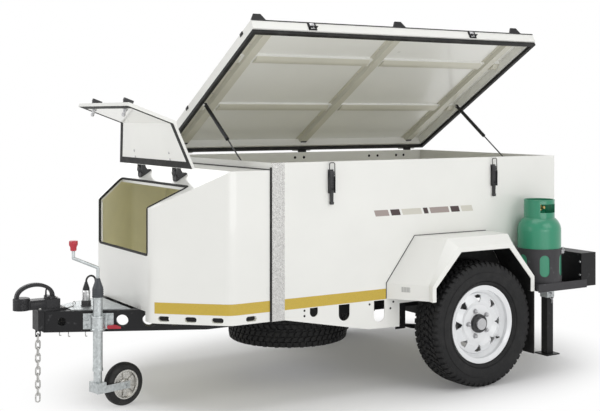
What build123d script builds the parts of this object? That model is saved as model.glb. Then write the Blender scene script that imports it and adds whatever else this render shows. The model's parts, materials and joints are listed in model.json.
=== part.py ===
"""Off-road camper trailer with a side-hinged lid, a nose locker hatch and a jockey wheel.

Millimetres. X runs forward along the towing direction, Y to the left, Z up from the ground.
The trailer is parked on its road wheels, jockey wheel and rear legs, with lid and hatch open.
Lengths along the trailer are measured ahead of the axle.
"""

import math
import os

from build123d import *

os.makedirs("parts", exist_ok=True)

# Fits
TOUCH_GAP = 0.3
RUNNING_GAP = 0.08
LID_GAP = 5.0

# Body tub
BODY_FRONT = 1197.0
BODY_REAR = -735.0
BODY_HALF = 635.0
BODY_BASE = 489.0
BODY_TOP = 1227.0
WALL = 25.0
SHEET = 4.0

# Side skirts below the tub
SKIRT_FRONT_LOW = 439.0
SKIRT_KNEE_X = 607.0
SKIRT_KNEE_LOW = 340.0
SKIRT_TAIL_X = 404.0
SKIRT_TAIL_LOW = 334.0
SKIRT_BAND = 459.0
SKIRT_FLANGE = 45.0
SLOT_FRONT_X = 946.0
SLOT_FRONT_WIDTH = 49.0
SLOT_FRONT_LOW = 438.0
SLOT_MIDDLE_X = 760.0
SLOT_MIDDLE_WIDTH = 69.0
SLOT_MIDDLE_LOW = 400.0
SLOT_REAR_X = 537.0
SLOT_REAR_LOW = 372.0
GUARD_WIDTH = 76.0
GUARD_THICK = 3.0

# Nose locker
NOSE_LONG = 529.0
NOSE_FRONT = BODY_FRONT + NOSE_LONG
HATCH_OPEN_HALF = 325.0
NOSE_CORNER = 39.0
NOSE_HALF = HATCH_OPEN_HALF + NOSE_CORNER
NOSE_SLANT = 304.0
NOSE_BEND_X = NOSE_FRONT - NOSE_SLANT
NOSE_BEND_R = 80.0
NOSE_STEP = 36.0
NOSE_TOP = BODY_TOP - NOSE_STEP
BROW_DROP = 186.0
NOSE_BROW = NOSE_TOP - BROW_DROP
NOSE_LOW = 440.0
NOSE_WALL = 20.0
OVAL_LONG = 60.0
OVAL_HIGH = 26.0
OVAL_Z = 464.0
HATCH_SILL = 768.0
HATCH_SLANT = 176.0
HATCH_HEAD_X = NOSE_FRONT - HATCH_SLANT
HATCH_FLARE = 112.0
HATCH_HEAD_HALF = HATCH_OPEN_HALF + HATCH_FLARE
FRONT_PANEL_HALF = HATCH_OPEN_HALF - WALL

# Nose hatch, built closed and then swung open
HATCH_ANGLE = 110.0
HATCH_PIVOT_BACK = 32.0
HATCH_PIVOT_DROP = 24.0
HATCH_PIVOT_X = HATCH_HEAD_X - HATCH_PIVOT_BACK
HATCH_PIVOT_Z = NOSE_TOP - HATCH_PIVOT_DROP
HATCH_STANDOFF = 6.0
HATCH_THICK = 18.0
HATCH_LAP = 20.0
HINGE_Y = 225.0
HINGE_BARREL = 17.0
HINGE_PIN = 5.0
HINGE_KNUCKLE = 42.0
HINGE_CHEEK = 12.0
HINGE_PIN_OVER = 4.0
HINGE_LEAF = 8.0
HINGE_BASE_BACK = 95.0
HINGE_BASE_FRONT = 24.0
HINGE_ARM_REACH = 62.0
HATCH_LOCK_Y = 215.0
HATCH_LOCK_DROP = 45.0
LOCK_R = 24.0
LOCK_HIGH = 18.0
WING_HIGH = 16.0
WING_HALF = 8.0
WING_LONG = 52.0

# Lid, in a frame whose origin is the hinge axis
LID_ANGLE = 30.5
LID_ROOT = 10.0
LID_OVERHANG = 10.0
LID_HINGE_RISE = 13.0
LID_HINGE_Y = -BODY_HALF - LID_OVERHANG
LID_HINGE_Z = BODY_TOP + LID_HINGE_RISE
LID_REACH = 2 * BODY_HALF + 3 * LID_OVERHANG
LID_RIM = 35.0
LID_RIM_LOW = 10.0
LID_TOP = 62.0
LID_SEAL_WIDTH = 22.0
RIB_WIDTH = 62.0
RIB_CROWN = 46.0
RIB_DEPTH = 26.0
RIB_FLANGE = 18.0
RIB_SHEET = 3.0
RIB_FRONT_X = 1075.0
RIB_MIDDLE_X = 230.0
RIB_REAR_X = -615.0
SWAGE_LOW_Y = 455.0
SWAGE_HIGH_Y = 960.0
SWAGE_WIDTH = 70.0
SWAGE_DEPTH = 12.0
LID_KNUCKLE_R = 7.0
LID_PIN_R = 4.0
KNUCKLE_LONG = 60.0
KNUCKLE_SHORT = 35.0
RACK_FRONT_X = 1140.0
RACK_REAR_X = -640.0
RACK_BASE = 120.0
RACK_HIGH = 62.0
RACK_TIP = 44.0
RACK_THICK = 8.0
RACK_INSET = 30.0
RACK_HOLE_R = 5.5
RACK_PITCH = 56.0
RACK_FAR_LIFT = 8.0

# Gas struts
STRUT_FRONT_X = 1146.0
STRUT_REAR_X = -684.0
STRUT_LID_Y = 534.0
STRUT_LID_Z = 14.0
STRUT_STUD_Y = 260.0
STRUT_STUD_Z = 1200.0
STUD_R = 5.0
STRUT_TUBE_R = 11.0
STRUT_TUBE_LONG = 320.0
STRUT_ROD_R = 4.0
STRUT_EYE_R = 11.0
STRUT_EYE_THICK = 12.0

# Lid latches on the left side
LATCH_FRONT_X = 845.0
LATCH_REAR_X = -255.0
LATCH_WIDTH = 50.0
LATCH_DEEP = 30.0
LATCH_LOW = 1067.0
LATCH_TOP = 1184.0
LEVER_LOW = 1005.0
BAIL_TOP = 1222.0
BAIL_R = 2.5

# Road tyres
TYRE_R = 338.0
TYRE_WIDTH = 205.0
TYRE_OUT = 125.0
TYRE_Y = BODY_HALF + TYRE_OUT
TYRE_SIDES = 48
TREAD_HALF = 76.0
SHOULDER_R = 320.0
SHOULDER_HALF = 96.0
BULGE_OUT_R = 272.0
BULGE_IN_R = 258.0

# Rims: barrel with its well, dished disc, windows
RIM_SEAT_R = 192.0
RIM_FLANGE = 18.0
RIM_FLANGE_R = RIM_SEAT_R + RIM_FLANGE
RIM_HALF = 80.0
RIM_SHEET = 8.0
SEAT_SLOPE = 2.0
BEAD_GAP = 0.5
BEAD_OVER = 2.0
WELL_DEEP = 24.0
WELL_R = RIM_SEAT_R - WELL_DEEP
WELL_REAR = -30.0
WELL_FRONT = 20.0
WELL_REAR_RAMP = 16.0
WELL_FRONT_RAMP = 26.0
DISC_HOLE_R = 48.0
DISC_BACK = 34.0
DISC_THICK = 8.0
DISC_EDGE_R = WELL_R - RIM_SHEET / 2
DISC_EDGE_DROP = 8.0
DISH_EDGE = 40.0
DISH_CREST_R = DISC_EDGE_R - DISH_EDGE
DISH_SLOPE = 25.0
DISH_FOOT_R = DISH_CREST_R - DISH_SLOPE
DISH_RISE = 12.0
WINDOW_COUNT = 8
WINDOW_EDGE = 14.0
WINDOW_OUT_R = DISC_EDGE_R - WINDOW_EDGE
WINDOW_LONG = 38.0
WINDOW_IN_R = WINDOW_OUT_R - WINDOW_LONG
WINDOW_BOW = 6.0
WINDOW_CROWN_R = WINDOW_OUT_R + WINDOW_BOW
WINDOW_HALF = 24.0

# Hubs and the spare's carrier
HUB_BORE_R = 20.0
DRUM_R = 118.0
DRUM_BACK = -46.0
DRUM_FACE = 10.0
HUB_FLANGE_R = 80.0
HUB_RING_FACE = 58.0
HUB_CAP_R = 33.0
HUB_CAP_FACE = 75.0
HUB_CAP_TAPER = 2.0
HUB_BORE_END = 46.0
SPINDLE_SHORT = 2.0
SPARE_X = 720.0
SPARE_Z = 303.0
CARRIER_IN = 25.0
CARRIER_R = DISH_FOOT_R - CARRIER_IN
CARRIER_THICK = 10.0
CARRIER_ROD_R = 12.0

# Axle and springs
BEAM = 50.0
BEAM_SHORT = 60.0
SPRING_IN = 60.0
SPRING_Y = BODY_HALF - SPRING_IN
SPRING_WIDTH = 50.0
SPRING_HALF = 375.0
SPRING_RISE = 36.0
LEAF = 9.0
LEAF_COUNT = 4
SEAT_DROP = 10.0
EYE_R = 18.0
SPRING_PIN_R = 8.0
SPRING_PIN_OVER = 6.0
HANGER_CHEEK = 6.0
HANGER_HALF = 32.0
HANGER_DROP = 20.0
HANGER_TOP = 10.0

# Fenders: where each section's corners lie, at the tub, the fold and the outer face
FENDER_LOW = 491.0
FENDER_KNEE = 573.0
FENDER_TOP = 814.0
FENDER_FACE_TOP = 768.0
FENDER_EDGE = 38.0
FENDER_OUT = 233.0
FENDER_FACE_Y = BODY_HALF + FENDER_OUT
FENDER_EDGE_Y = FENDER_FACE_Y - FENDER_EDGE
ROOT_FRONT = 492.0
ROOT_FRONT_TOP = 304.0
ROOT_REAR_TOP = -200.0
ROOT_REAR = -350.0
FOLD_FRONT = 358.0
FOLD_FRONT_TOP = 236.0
FOLD_REAR_TOP = -190.0
FOLD_REAR = -348.0
FACE_FRONT = 364.0
FACE_FRONT_TOP = 188.0
FACE_REAR_TOP = -186.0
FACE_REAR = -352.0
ARCH_FRONT = 342.0
ARCH_FRONT_TOP = 171.0
ARCH_REAR_TOP = -171.0
ARCH_REAR = -330.0
ARCH_LOW = 565.0
ARCH_TOP = 744.0
FLAP_THICK = 6.0
FLAP_INSET = 12.0
FLAP_LOW = 145.0

# Frame
RAIL_OUT = 392.0
RAIL_WIDE = 45.0
RAIL_LOW = 384.0
DRAWBAR_LONG = 431.0
DRAW_TIP_X = NOSE_FRONT + DRAWBAR_LONG
DRAW_TIP_Y = 38.0
DRAW_BEND_BACK = 295.0
DRAW_BEND_X = NOSE_FRONT - DRAW_BEND_BACK
ARM_FRONT_HOLE = 88.0
ARM_FRONT_HOLE_R = 21.0
ARM_HOLE_FIRST = 385.0
ARM_HOLE_PITCH = 130.0
ARM_HOLE_COUNT = 3
ARM_HOLE_R = 30.0
HEAD_LONG = 31.0
HEAD_HALF = 45.0
HEAD_LOW = 394.0
CROSS_LOW = 430.0
CROSS_WIDE = 50.0
CROSS_FRONT_X = 1120.0
CROSS_MIDDLE_X = 330.0
CROSS_REAR_X = -690.0
OUTRIGGER_WIDE = 44.0
OUTRIGGER_X = 460.0
PLATE_THICK = 4.0
PLATE_BACK = 127.0
PLATE_FRONT = DRAW_TIP_X - PLATE_BACK
PLATE_LONG = 265.0
PLATE_REAR = PLATE_FRONT - PLATE_LONG
PLATE_FRONT_HALF = 80.0
PLATE_REAR_HALF = 205.0

# Coupling
BALL_R = 25.4
CUP_R = 42.0
CUP_TOP = 560.0
CUP_MOUTH = 500.0
SOCKET_DEEP = 25.0
COUPLING_REACH = 143.0
COUPLING_BACK = 115.0
COUPLING_REAR = DRAW_TIP_X - COUPLING_BACK
COUPLING_HALF = 40.0
SHANK_BACK = 87.0
SHANK_REAR = DRAW_TIP_X - SHANK_BACK
SHANK_HALF = 32.0
SHANK_TOP = 546.0
LATCH_BLOCK_BACK = 65.0
LATCH_BLOCK_REAR = DRAW_TIP_X - LATCH_BLOCK_BACK
LATCH_BLOCK_LONG = 44.0
LATCH_BLOCK_HALF = 26.0
HANDLE_TOP = 629.0
HANDLE_THICK = 18.0
HANDLE_HALF = 12.0
HANDLE_SETBACK = 8.0

# Safety chain under the drawbar head
CHAIN_AHEAD = 18.0
CHAIN_LUG_REAR = 14.0
CHAIN_LUG_FRONT = 12.0
CHAIN_LUG_HALF = 5.0
CHAIN_LUG_LOW = 360.0
CHAIN_EYE_Z = 376.0
CHAIN_EYE_R = 10.0
LINK_COUNT = 10
LINK_LONG = 52.0
LINK_WIDE = 29.0
LINK_WIRE = 8.0
LINK_CORNER = 9.0
LINK_SLACK = 3.1
LINK_LIFT = 4.0

# Parked plug and its lead
PLUG_BACK = 227.0
PLUG_X = DRAW_TIP_X - PLUG_BACK
PLUG_Y = 20.0
PLUG_LOW = 522.0
PLUG_TOP = 574.0
PLUG_R = 21.0
PLUG_CUP_R = 25.0
RELIEF_R = 15.0
RELIEF_TIP_R = 8.0
RELIEF_LONG = 40.0
LEAD_R = 5.0
LEAD_BEND = 25.0

# Jockey wheel
JOCKEY_BACK = 225.0
JOCKEY_X = DRAW_TIP_X - JOCKEY_BACK
JOCKEY_Y = 188.0
JOCKEY_TURN = 12.0
JOCKEY_OUT_R = 24.0
JOCKEY_IN_R = 21.0
JOCKEY_LOW = 200.0
JOCKEY_TOP = 563.0
JOCKEY_INNER_TOP = 402.0
CLAMP_HALF = 75.0
CLAMP_LOW = 38.0
CLAMP_HIGH = 40.0
CLAMP_PLATE = 8.0
CLAMP_RING = 10.0
CLAMP_RING_LONG = 70.0
LEVER_START = 40.0
LEVER_END = 112.0
LEVER_BASE = 36.0
LEVER_HIGH = 18.0
LEVER_THICK = 14.0
BOOT_R = 28.5
BOOT_TIP_R = 11.0
BOOT_SHOULDER = 606.0
BOOT_TOP = 656.0
CRANK_R = 8.0
CRANK_REACH = 126.0
CRANK_BEND_LOW = 708.0
CRANK_BEND_HIGH = 764.0
KNOB_LOW = 800.0
KNOB_TOP = 850.0
KNOB_R = 22.5
KNOB_ROUND = 8.0
FORK_TOP = 142.0
FORK_LOW = 92.0
FORK_HALF = 26.0
FORK_PLATE = 4.0
FORK_ARM_HALF = 18.0
JOCKEY_TRAIL = 150.0
JOCKEY_WHEEL_R = 108.0
JOCKEY_WHEEL_WIDE = 58.0
JOCKEY_TYRE_SIDES = 40
JOCKEY_TYRE_ROUND = 14.0
JOCKEY_TYRE_IN = 74.0
JOCKEY_RIM_IN = 66.0
JOCKEY_RIM_SHORT = 8.0
JOCKEY_WEB = 12.0
JOCKEY_HUB_R = 22.0
JOCKEY_HUB_OVER = 2.0
JOCKEY_PIN_R = 6.0
JOCKEY_PIN_OVER = 22.0

# Rear bumper with lamps and number plate
BUMPER_REAR = -850.0
BUMPER_OUT = 215.0
BUMPER_HALF = BODY_HALF + BUMPER_OUT
BUMPER_LOW = 481.0
BUMPER_TOP = 672.0
LAMP_LONG = 220.0
LAMP_HIGH = 100.0
LAMP_DEEP = 20.0
LAMP_INSET = 40.0
LAMP_LOW = 535.0
NUMBER_LONG = 440.0
NUMBER_HIGH = 110.0
NUMBER_THICK = 3.0
NUMBER_LOW = 530.0

# Rear legs in their sockets
LEG_Y = 430.0
LEG_SIDE = 50.0
LEG_TOP = 600.0
SOCKET_SIDE = 60.0
SOCKET_LOW = 350.0
SOCKET_TOP = 640.0
FOOT_SIDE = 105.0
FOOT_THICK = 8.0

# Gas bottles with trays and sleeves
BOTTLE_X = -490.0
BOTTLE_R = 122.0
BOTTLE_BASE = 493.0
BOTTLE_TOP = 985.0
BOTTLE_FOOT_R = 97.6
BOTTLE_FOOT_HIGH = 20.0
BOTTLE_BILGE = 60.0
BOTTLE_SHOULDER = 170.0
BOTTLE_NECK_R = 30.5
BOTTLE_NECK_LOW = 84.0
BOTTLE_NECK_TOP = 60.0
BOTTLE_MOUTH_R = 8.0
COLLAR_R = 86.0
COLLAR_HIGH = 120.0
GRIP_LONG = 110.0
GRIP_LOW = 70.0
GRIP_TOP = 22.0
SLEEVE_THICK = 3.0
SLEEVE_TOP = 715.0
SLEEVE_WINDOW_LONG = 120.0
SLEEVE_WINDOW_WIDE = 56.0
TRAY_FRONT = -362.0
TRAY_LOW = 483.0
TRAY_LIP = 528.0

# Derived, the axle placed so that the middle of the length is at X = 0
BOTTLE_Y = BODY_HALF + 2 * SLEEVE_THICK + BOTTLE_R
TRAY_OUT = BOTTLE_Y + BOTTLE_R + SLEEVE_THICK + SHEET
AXLE_Z = TYRE_R
LEG_X = BUMPER_REAR - SOCKET_SIDE / 2
FRONT_REACH = DRAW_TIP_X + COUPLING_REACH
REAR_REACH = FOOT_SIDE / 2 - LEG_X
AXLE_X = (REAR_REACH - FRONT_REACH) / 2
SLANT = math.degrees(math.atan2(BROW_DROP, NOSE_SLANT))
TAPER = math.degrees(math.atan2(BODY_HALF - NOSE_HALF, NOSE_SLANT))
SPLAY = math.degrees(math.atan2(RAIL_OUT - DRAW_TIP_Y, DRAW_TIP_X - DRAW_BEND_X))
PLATE_TOP = BODY_BASE + PLATE_THICK
CHAIN_X = DRAW_TIP_X + CHAIN_AHEAD


def save(part, node):
    """Label one named piece and write it out."""
    part.label = node
    export_step(part, f"parts/{node}.step")


def fore(distance):
    """X of a point that lies this far ahead of the axle."""
    return AXLE_X + distance


def block(rear, front, right, left, low, high, mode=Mode.ADD):
    """Box between six faces, in the frame of the open part."""
    with Locations(((rear + front) / 2, (right + left) / 2, (low + high) / 2)):
        Box(front - rear, left - right, high - low, mode=mode)


def rod_along(axis_name, centre, radius, length, mode=Mode.ADD):
    """Round bar along one axis of the frame of the open part."""
    turn = {"X": (0, 90, 0), "Y": (90, 0, 0), "Z": (0, 0, 0)}[axis_name]
    with Locations(centre):
        Cylinder(radius, length, rotation=turn, mode=mode)


def save_pair(part, node):
    """Left piece as built and the right one as its mirror image."""
    save(part, f"{node}_left")
    save(mirror(part, about=Plane.XZ), f"{node}_right")


# Tub: floor, sides, front bulkhead and rear panel
with BuildPart() as floor:
    block(fore(BODY_REAR + WALL), fore(BODY_FRONT - WALL), WALL - BODY_HALF, BODY_HALF - WALL,
          BODY_BASE, BODY_BASE + WALL)
with BuildPart() as side:
    block(fore(BODY_REAR), fore(BODY_FRONT), BODY_HALF - WALL, BODY_HALF, BODY_BASE, BODY_TOP)
    mirror(about=Plane.XZ)
save(side.part, "side_panels")

with BuildPart() as bulkhead:
    block(fore(BODY_FRONT - WALL), fore(BODY_FRONT), WALL - BODY_HALF, BODY_HALF - WALL, BODY_BASE, BODY_TOP)
    stud_end = STRUT_FRONT_X + STRUT_EYE_THICK / 2 + TOUCH_GAP
    stud_long = BODY_FRONT - WALL - stud_end
    rod_along("X", (fore(stud_end + stud_long / 2), STRUT_STUD_Y, STRUT_STUD_Z), STUD_R, stud_long)

with BuildPart() as rear_panel:
    block(fore(BODY_REAR), fore(BODY_REAR + WALL), WALL - BODY_HALF, BODY_HALF - WALL, BODY_BASE, BODY_TOP)
    stud_end = STRUT_REAR_X - STRUT_EYE_THICK / 2 - TOUCH_GAP
    stud_long = stud_end - BODY_REAR - WALL
    rod_along("X", (fore(stud_end - stud_long / 2), STRUT_STUD_Y, STRUT_STUD_Z), STUD_R, stud_long)
    add(bulkhead.part)
save(rear_panel.part, "end_panels")

# Side skirts with their round-bottomed slots
with BuildPart() as skirt:
    with BuildSketch(Plane.XZ.offset(-BODY_HALF)):
        Polygon(
            (fore(BODY_FRONT), BODY_BASE),
            (fore(BODY_FRONT), SKIRT_FRONT_LOW),
            (fore(BODY_FRONT - GUARD_WIDTH), SKIRT_FRONT_LOW),
            (fore(SKIRT_KNEE_X), SKIRT_KNEE_LOW),
            (fore(SKIRT_TAIL_X), SKIRT_TAIL_LOW),
            (fore(SKIRT_TAIL_X), SKIRT_BAND),
            (fore(BODY_REAR), SKIRT_BAND),
            (fore(BODY_REAR), BODY_BASE),
            align=None,
        )
    extrude(amount=SHEET)
    with BuildSketch(Plane.XZ.offset(-BODY_HALF)):
        with Locations((fore(SLOT_FRONT_X), BODY_BASE)):
            SlotOverall(2 * (BODY_BASE - SLOT_FRONT_LOW), SLOT_FRONT_WIDTH, rotation=90)
        with Locations((fore(SLOT_MIDDLE_X), BODY_BASE)):
            SlotOverall(2 * (BODY_BASE - SLOT_MIDDLE_LOW), SLOT_MIDDLE_WIDTH, rotation=90)
        with Locations((fore(SLOT_REAR_X), BODY_BASE)):
            SlotOverall(2 * (BODY_BASE - SLOT_REAR_LOW), SLOT_MIDDLE_WIDTH, rotation=90)
    extrude(amount=SHEET, mode=Mode.SUBTRACT)
    block(fore(BODY_REAR), fore(BODY_FRONT), BODY_HALF - SKIRT_FLANGE, BODY_HALF,
          BODY_BASE - SHEET, BODY_BASE)
    mirror(about=Plane.XZ)
save(skirt.part, "side_skirts")

with BuildPart() as guard:
    block(fore(BODY_FRONT - GUARD_WIDTH), fore(BODY_FRONT), BODY_HALF, BODY_HALF + GUARD_THICK,
          SKIRT_FRONT_LOW, BODY_TOP)
    mirror(about=Plane.XZ)
save(guard.part, "corner_guards")

# Nose locker: rounded sides, front, bent top with the hatch opening, and floor
taper_tan = math.tan(math.radians(TAPER))
slant_tan = math.tan(math.radians(SLANT))
slant_step = NOSE_WALL / math.cos(math.radians(SLANT))
inner_half = NOSE_HALF - NOSE_WALL / math.cos(math.radians(TAPER)) + NOSE_WALL * taper_tan
inner_bend_x = NOSE_FRONT - NOSE_WALL - (BODY_HALF - NOSE_WALL - inner_half) / taper_tan
slant_under = Plane(
    origin=(fore(NOSE_FRONT), 0, NOSE_BROW - slant_step),
    z_dir=(math.sin(math.radians(SLANT)), 0, math.cos(math.radians(SLANT))),
)
taper_plane = Plane(
    origin=(fore(NOSE_FRONT), NOSE_HALF, OVAL_Z),
    x_dir=(-math.cos(math.radians(TAPER)), math.sin(math.radians(TAPER)), 0),
    z_dir=(math.sin(math.radians(TAPER)), math.cos(math.radians(TAPER)), 0),
)

with BuildSketch() as nose_outside:
    Polygon(
        (fore(BODY_FRONT), BODY_HALF),
        (fore(NOSE_BEND_X), BODY_HALF),
        (fore(NOSE_FRONT), NOSE_HALF),
        (fore(NOSE_FRONT), -NOSE_HALF),
        (fore(NOSE_BEND_X), -BODY_HALF),
        (fore(BODY_FRONT), -BODY_HALF),
        align=None,
    )
    fillet(nose_outside.vertices().sort_by(Axis.X)[2:], NOSE_BEND_R)

with BuildSketch() as nose_inside:
    Polygon(
        (fore(BODY_FRONT), BODY_HALF - NOSE_WALL),
        (fore(inner_bend_x), BODY_HALF - NOSE_WALL),
        (fore(NOSE_FRONT - NOSE_WALL), inner_half),
        (fore(NOSE_FRONT - NOSE_WALL), -inner_half),
        (fore(inner_bend_x), NOSE_WALL - BODY_HALF),
        (fore(BODY_FRONT), NOSE_WALL - BODY_HALF),
        align=None,
    )
    fillet(nose_inside.vertices().sort_by(Axis.X)[2:], NOSE_BEND_R - NOSE_WALL)

with BuildPart() as nose_side:
    extrude(Pos(0, 0, NOSE_LOW) * nose_outside.sketch, amount=NOSE_TOP - NOSE_WALL - NOSE_LOW)
    extrude(Pos(0, 0, NOSE_LOW) * nose_inside.sketch, amount=NOSE_TOP - NOSE_LOW, mode=Mode.SUBTRACT)
    split(bisect_by=slant_under, keep=Keep.BOTTOM)
    block(fore(NOSE_FRONT - 2 * NOSE_WALL), fore(NOSE_FRONT + NOSE_WALL), -FRONT_PANEL_HALF,
          FRONT_PANEL_HALF, NOSE_LOW, NOSE_TOP, mode=Mode.SUBTRACT)
    block(fore(NOSE_FRONT - 2 * NOSE_WALL), fore(NOSE_FRONT + NOSE_WALL), -HATCH_OPEN_HALF, HATCH_OPEN_HALF,
          HATCH_SILL, NOSE_TOP, mode=Mode.SUBTRACT)
    taper_long = NOSE_SLANT / math.cos(math.radians(TAPER))
    with BuildSketch(taper_plane):
        with Locations((taper_long / 2, 0)):
            with GridLocations(taper_long / 3, 1, 3, 1):
                SlotOverall(OVAL_LONG, OVAL_HIGH)
    extrude(amount=-2 * NOSE_WALL, mode=Mode.SUBTRACT)
    with BuildSketch(Plane.XZ.offset(-BODY_HALF)):
        with Locations((fore((BODY_FRONT + NOSE_BEND_X) / 2), OVAL_Z)):
            SlotOverall(OVAL_LONG, OVAL_HIGH)
    extrude(amount=2 * NOSE_WALL, mode=Mode.SUBTRACT)
    split(bisect_by=Plane.XZ, keep=Keep.BOTTOM)
    mirror(about=Plane.XZ)
save(nose_side.part, "nose_sides")

with BuildPart() as nose_front:
    block(fore(NOSE_FRONT - NOSE_WALL), fore(NOSE_FRONT), -FRONT_PANEL_HALF, FRONT_PANEL_HALF,
          BODY_BASE, HATCH_SILL)
save(nose_front.part, "nose_front_panel")

with BuildPart() as nose_top:
    with BuildSketch(Plane.XZ):
        Polygon(
            (fore(BODY_FRONT), NOSE_TOP),
            (fore(NOSE_BEND_X), NOSE_TOP),
            (fore(NOSE_FRONT), NOSE_BROW),
            (fore(NOSE_FRONT), NOSE_BROW - slant_step),
            (fore(NOSE_BEND_X + (NOSE_WALL - slant_step) / slant_tan), NOSE_TOP - NOSE_WALL),
            (fore(BODY_FRONT), NOSE_TOP - NOSE_WALL),
            align=None,
        )
    extrude(amount=BODY_HALF, both=True)
    extrude(Pos(0, 0, NOSE_LOW) * nose_outside.sketch, amount=BODY_TOP - NOSE_LOW, mode=Mode.INTERSECT)
    with BuildSketch(Plane.XY.offset(NOSE_LOW)):
        Polygon(
            (fore(NOSE_FRONT + NOSE_WALL), HATCH_OPEN_HALF),
            (fore(NOSE_FRONT), HATCH_OPEN_HALF),
            (fore(HATCH_HEAD_X), HATCH_HEAD_HALF),
            (fore(HATCH_HEAD_X), -HATCH_HEAD_HALF),
            (fore(NOSE_FRONT), -HATCH_OPEN_HALF),
            (fore(NOSE_FRONT + NOSE_WALL), -HATCH_OPEN_HALF),
            align=None,
        )
    extrude(amount=BODY_TOP - NOSE_LOW, mode=Mode.SUBTRACT)
save(nose_top.part, "nose_top_panel")

with BuildPart() as nose_floor:
    extrude(Pos(0, 0, BODY_BASE) * nose_inside.sketch, amount=NOSE_WALL)
    add(floor.part)
save(nose_floor.part, "floor_panels")

# Nose hatch: a panel bent along the brow, hinged above the slant
hatch_axis = Axis((fore(HATCH_PIVOT_X), 0, HATCH_PIVOT_Z), (0, -1, 0))
slant_dir = (math.cos(math.radians(SLANT)), -math.sin(math.radians(SLANT)))
slant_out = (math.sin(math.radians(SLANT)), math.cos(math.radians(SLANT)))
head_z = NOSE_BROW + (NOSE_FRONT - HATCH_HEAD_X) * slant_tan


def hatch_point(along, out):
    """Point of the closed hatch's section, from the head of the opening down the slant."""
    return (
        fore(HATCH_HEAD_X) + along * slant_dir[0] + out * slant_out[0],
        head_z + along * slant_dir[1] + out * slant_out[1],
    )


def brow_point(out):
    """Corner where the slant part meets the front part, this far outside the nose."""
    return (
        fore(NOSE_FRONT) + out,
        NOSE_BROW - out * slant_tan + out / math.cos(math.radians(SLANT)),
    )


hatch_skin = HATCH_STANDOFF + HATCH_THICK
hatch_foot = HATCH_SILL - HATCH_LAP
with BuildPart() as hatch:
    with BuildSketch(Plane.XZ):
        Polygon(
            hatch_point(-HATCH_LAP, HATCH_STANDOFF),
            brow_point(HATCH_STANDOFF),
            (fore(NOSE_FRONT) + HATCH_STANDOFF, hatch_foot),
            (fore(NOSE_FRONT) + hatch_skin, hatch_foot),
            brow_point(hatch_skin),
            hatch_point(-HATCH_LAP, hatch_skin),
            align=None,
        )
    extrude(amount=HATCH_HEAD_HALF + 2 * HATCH_LAP, both=True)
    with BuildSketch(Plane.XY.offset(NOSE_LOW)):
        lap_front = HATCH_OPEN_HALF + HATCH_LAP
        lap_slope = (HATCH_HEAD_HALF - HATCH_OPEN_HALF) / (NOSE_FRONT - HATCH_HEAD_X)
        lap_back_x = HATCH_HEAD_X - 2 * HATCH_LAP
        lap_back = lap_front + lap_slope * (NOSE_FRONT - lap_back_x)
        Polygon(
            (fore(NOSE_FRONT) + 2 * hatch_skin, lap_front),
            (fore(NOSE_FRONT), lap_front),
            (fore(lap_back_x), lap_back),
            (fore(lap_back_x), -lap_back),
            (fore(NOSE_FRONT), -lap_front),
            (fore(NOSE_FRONT) + 2 * hatch_skin, -lap_front),
            align=None,
        )
    extrude(amount=BODY_TOP - NOSE_LOW, mode=Mode.INTERSECT)
save(hatch.part.rotate(hatch_axis, HATCH_ANGLE), "hatch_door")

with BuildPart() as hinge_base:
    with BuildSketch(Plane.XZ.offset(-HINGE_Y - HINGE_KNUCKLE / 2)):
        Polygon(
            hatch_point(-HINGE_BASE_BACK, 0),
            hatch_point(-HINGE_BASE_BACK, HINGE_LEAF),
            (fore(HATCH_PIVOT_X) - HINGE_BARREL, HATCH_PIVOT_Z),
            (fore(HATCH_PIVOT_X) + HINGE_BARREL, HATCH_PIVOT_Z),
            hatch_point(-HINGE_BASE_FRONT, HINGE_LEAF),
            hatch_point(-HINGE_BASE_FRONT, 0),
            align=None,
        )
        with Locations((fore(HATCH_PIVOT_X), HATCH_PIVOT_Z)):
            Circle(HINGE_BARREL)
    extrude(amount=HINGE_KNUCKLE)
    rod_along("Y", (fore(HATCH_PIVOT_X), HINGE_Y, HATCH_PIVOT_Z), HINGE_PIN,
              HINGE_KNUCKLE + 2 * HINGE_CHEEK + HINGE_PIN_OVER)
    mirror(about=Plane.XZ)
save(hinge_base.part, "hatch_hinge_bases")

with BuildPart() as hinge_arm:
    cheek_out = HINGE_Y + HINGE_KNUCKLE / 2 + TOUCH_GAP + HINGE_CHEEK
    cheek_r = HINGE_BARREL - 3 * TOUCH_GAP
    with BuildSketch(Plane.XZ.offset(-cheek_out)):
        Polygon(
            (fore(HATCH_PIVOT_X), HATCH_PIVOT_Z - cheek_r),
            hatch_point(-HATCH_LAP, hatch_skin),
            hatch_point(HINGE_ARM_REACH, hatch_skin),
            hatch_point(HINGE_ARM_REACH, hatch_skin + HINGE_LEAF),
            (fore(HATCH_PIVOT_X), HATCH_PIVOT_Z + cheek_r),
            align=None,
        )
        with Locations((fore(HATCH_PIVOT_X), HATCH_PIVOT_Z)):
            Circle(cheek_r)
            Circle(HINGE_PIN + RUNNING_GAP, mode=Mode.SUBTRACT)
    extrude(amount=HINGE_CHEEK)
    mirror(about=Plane.XZ.offset(-HINGE_Y))
    mirror(about=Plane.XZ)

with BuildPart() as hatch_lock:
    knob_z = hatch_foot + HATCH_LOCK_DROP
    knob_x = fore(NOSE_FRONT) + hatch_skin
    rod_along("X", (knob_x + LOCK_HIGH / 2, HATCH_LOCK_Y, knob_z), LOCK_R, LOCK_HIGH)
    block(knob_x + LOCK_HIGH, knob_x + LOCK_HIGH + WING_HIGH, HATCH_LOCK_Y - WING_HALF,
          HATCH_LOCK_Y + WING_HALF, knob_z - WING_LONG / 2, knob_z + WING_LONG / 2)
    mirror(about=Plane.XZ)
    add(hinge_arm.part)
save(hatch_lock.part.rotate(hatch_axis, HATCH_ANGLE), "hatch_fittings")

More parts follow.
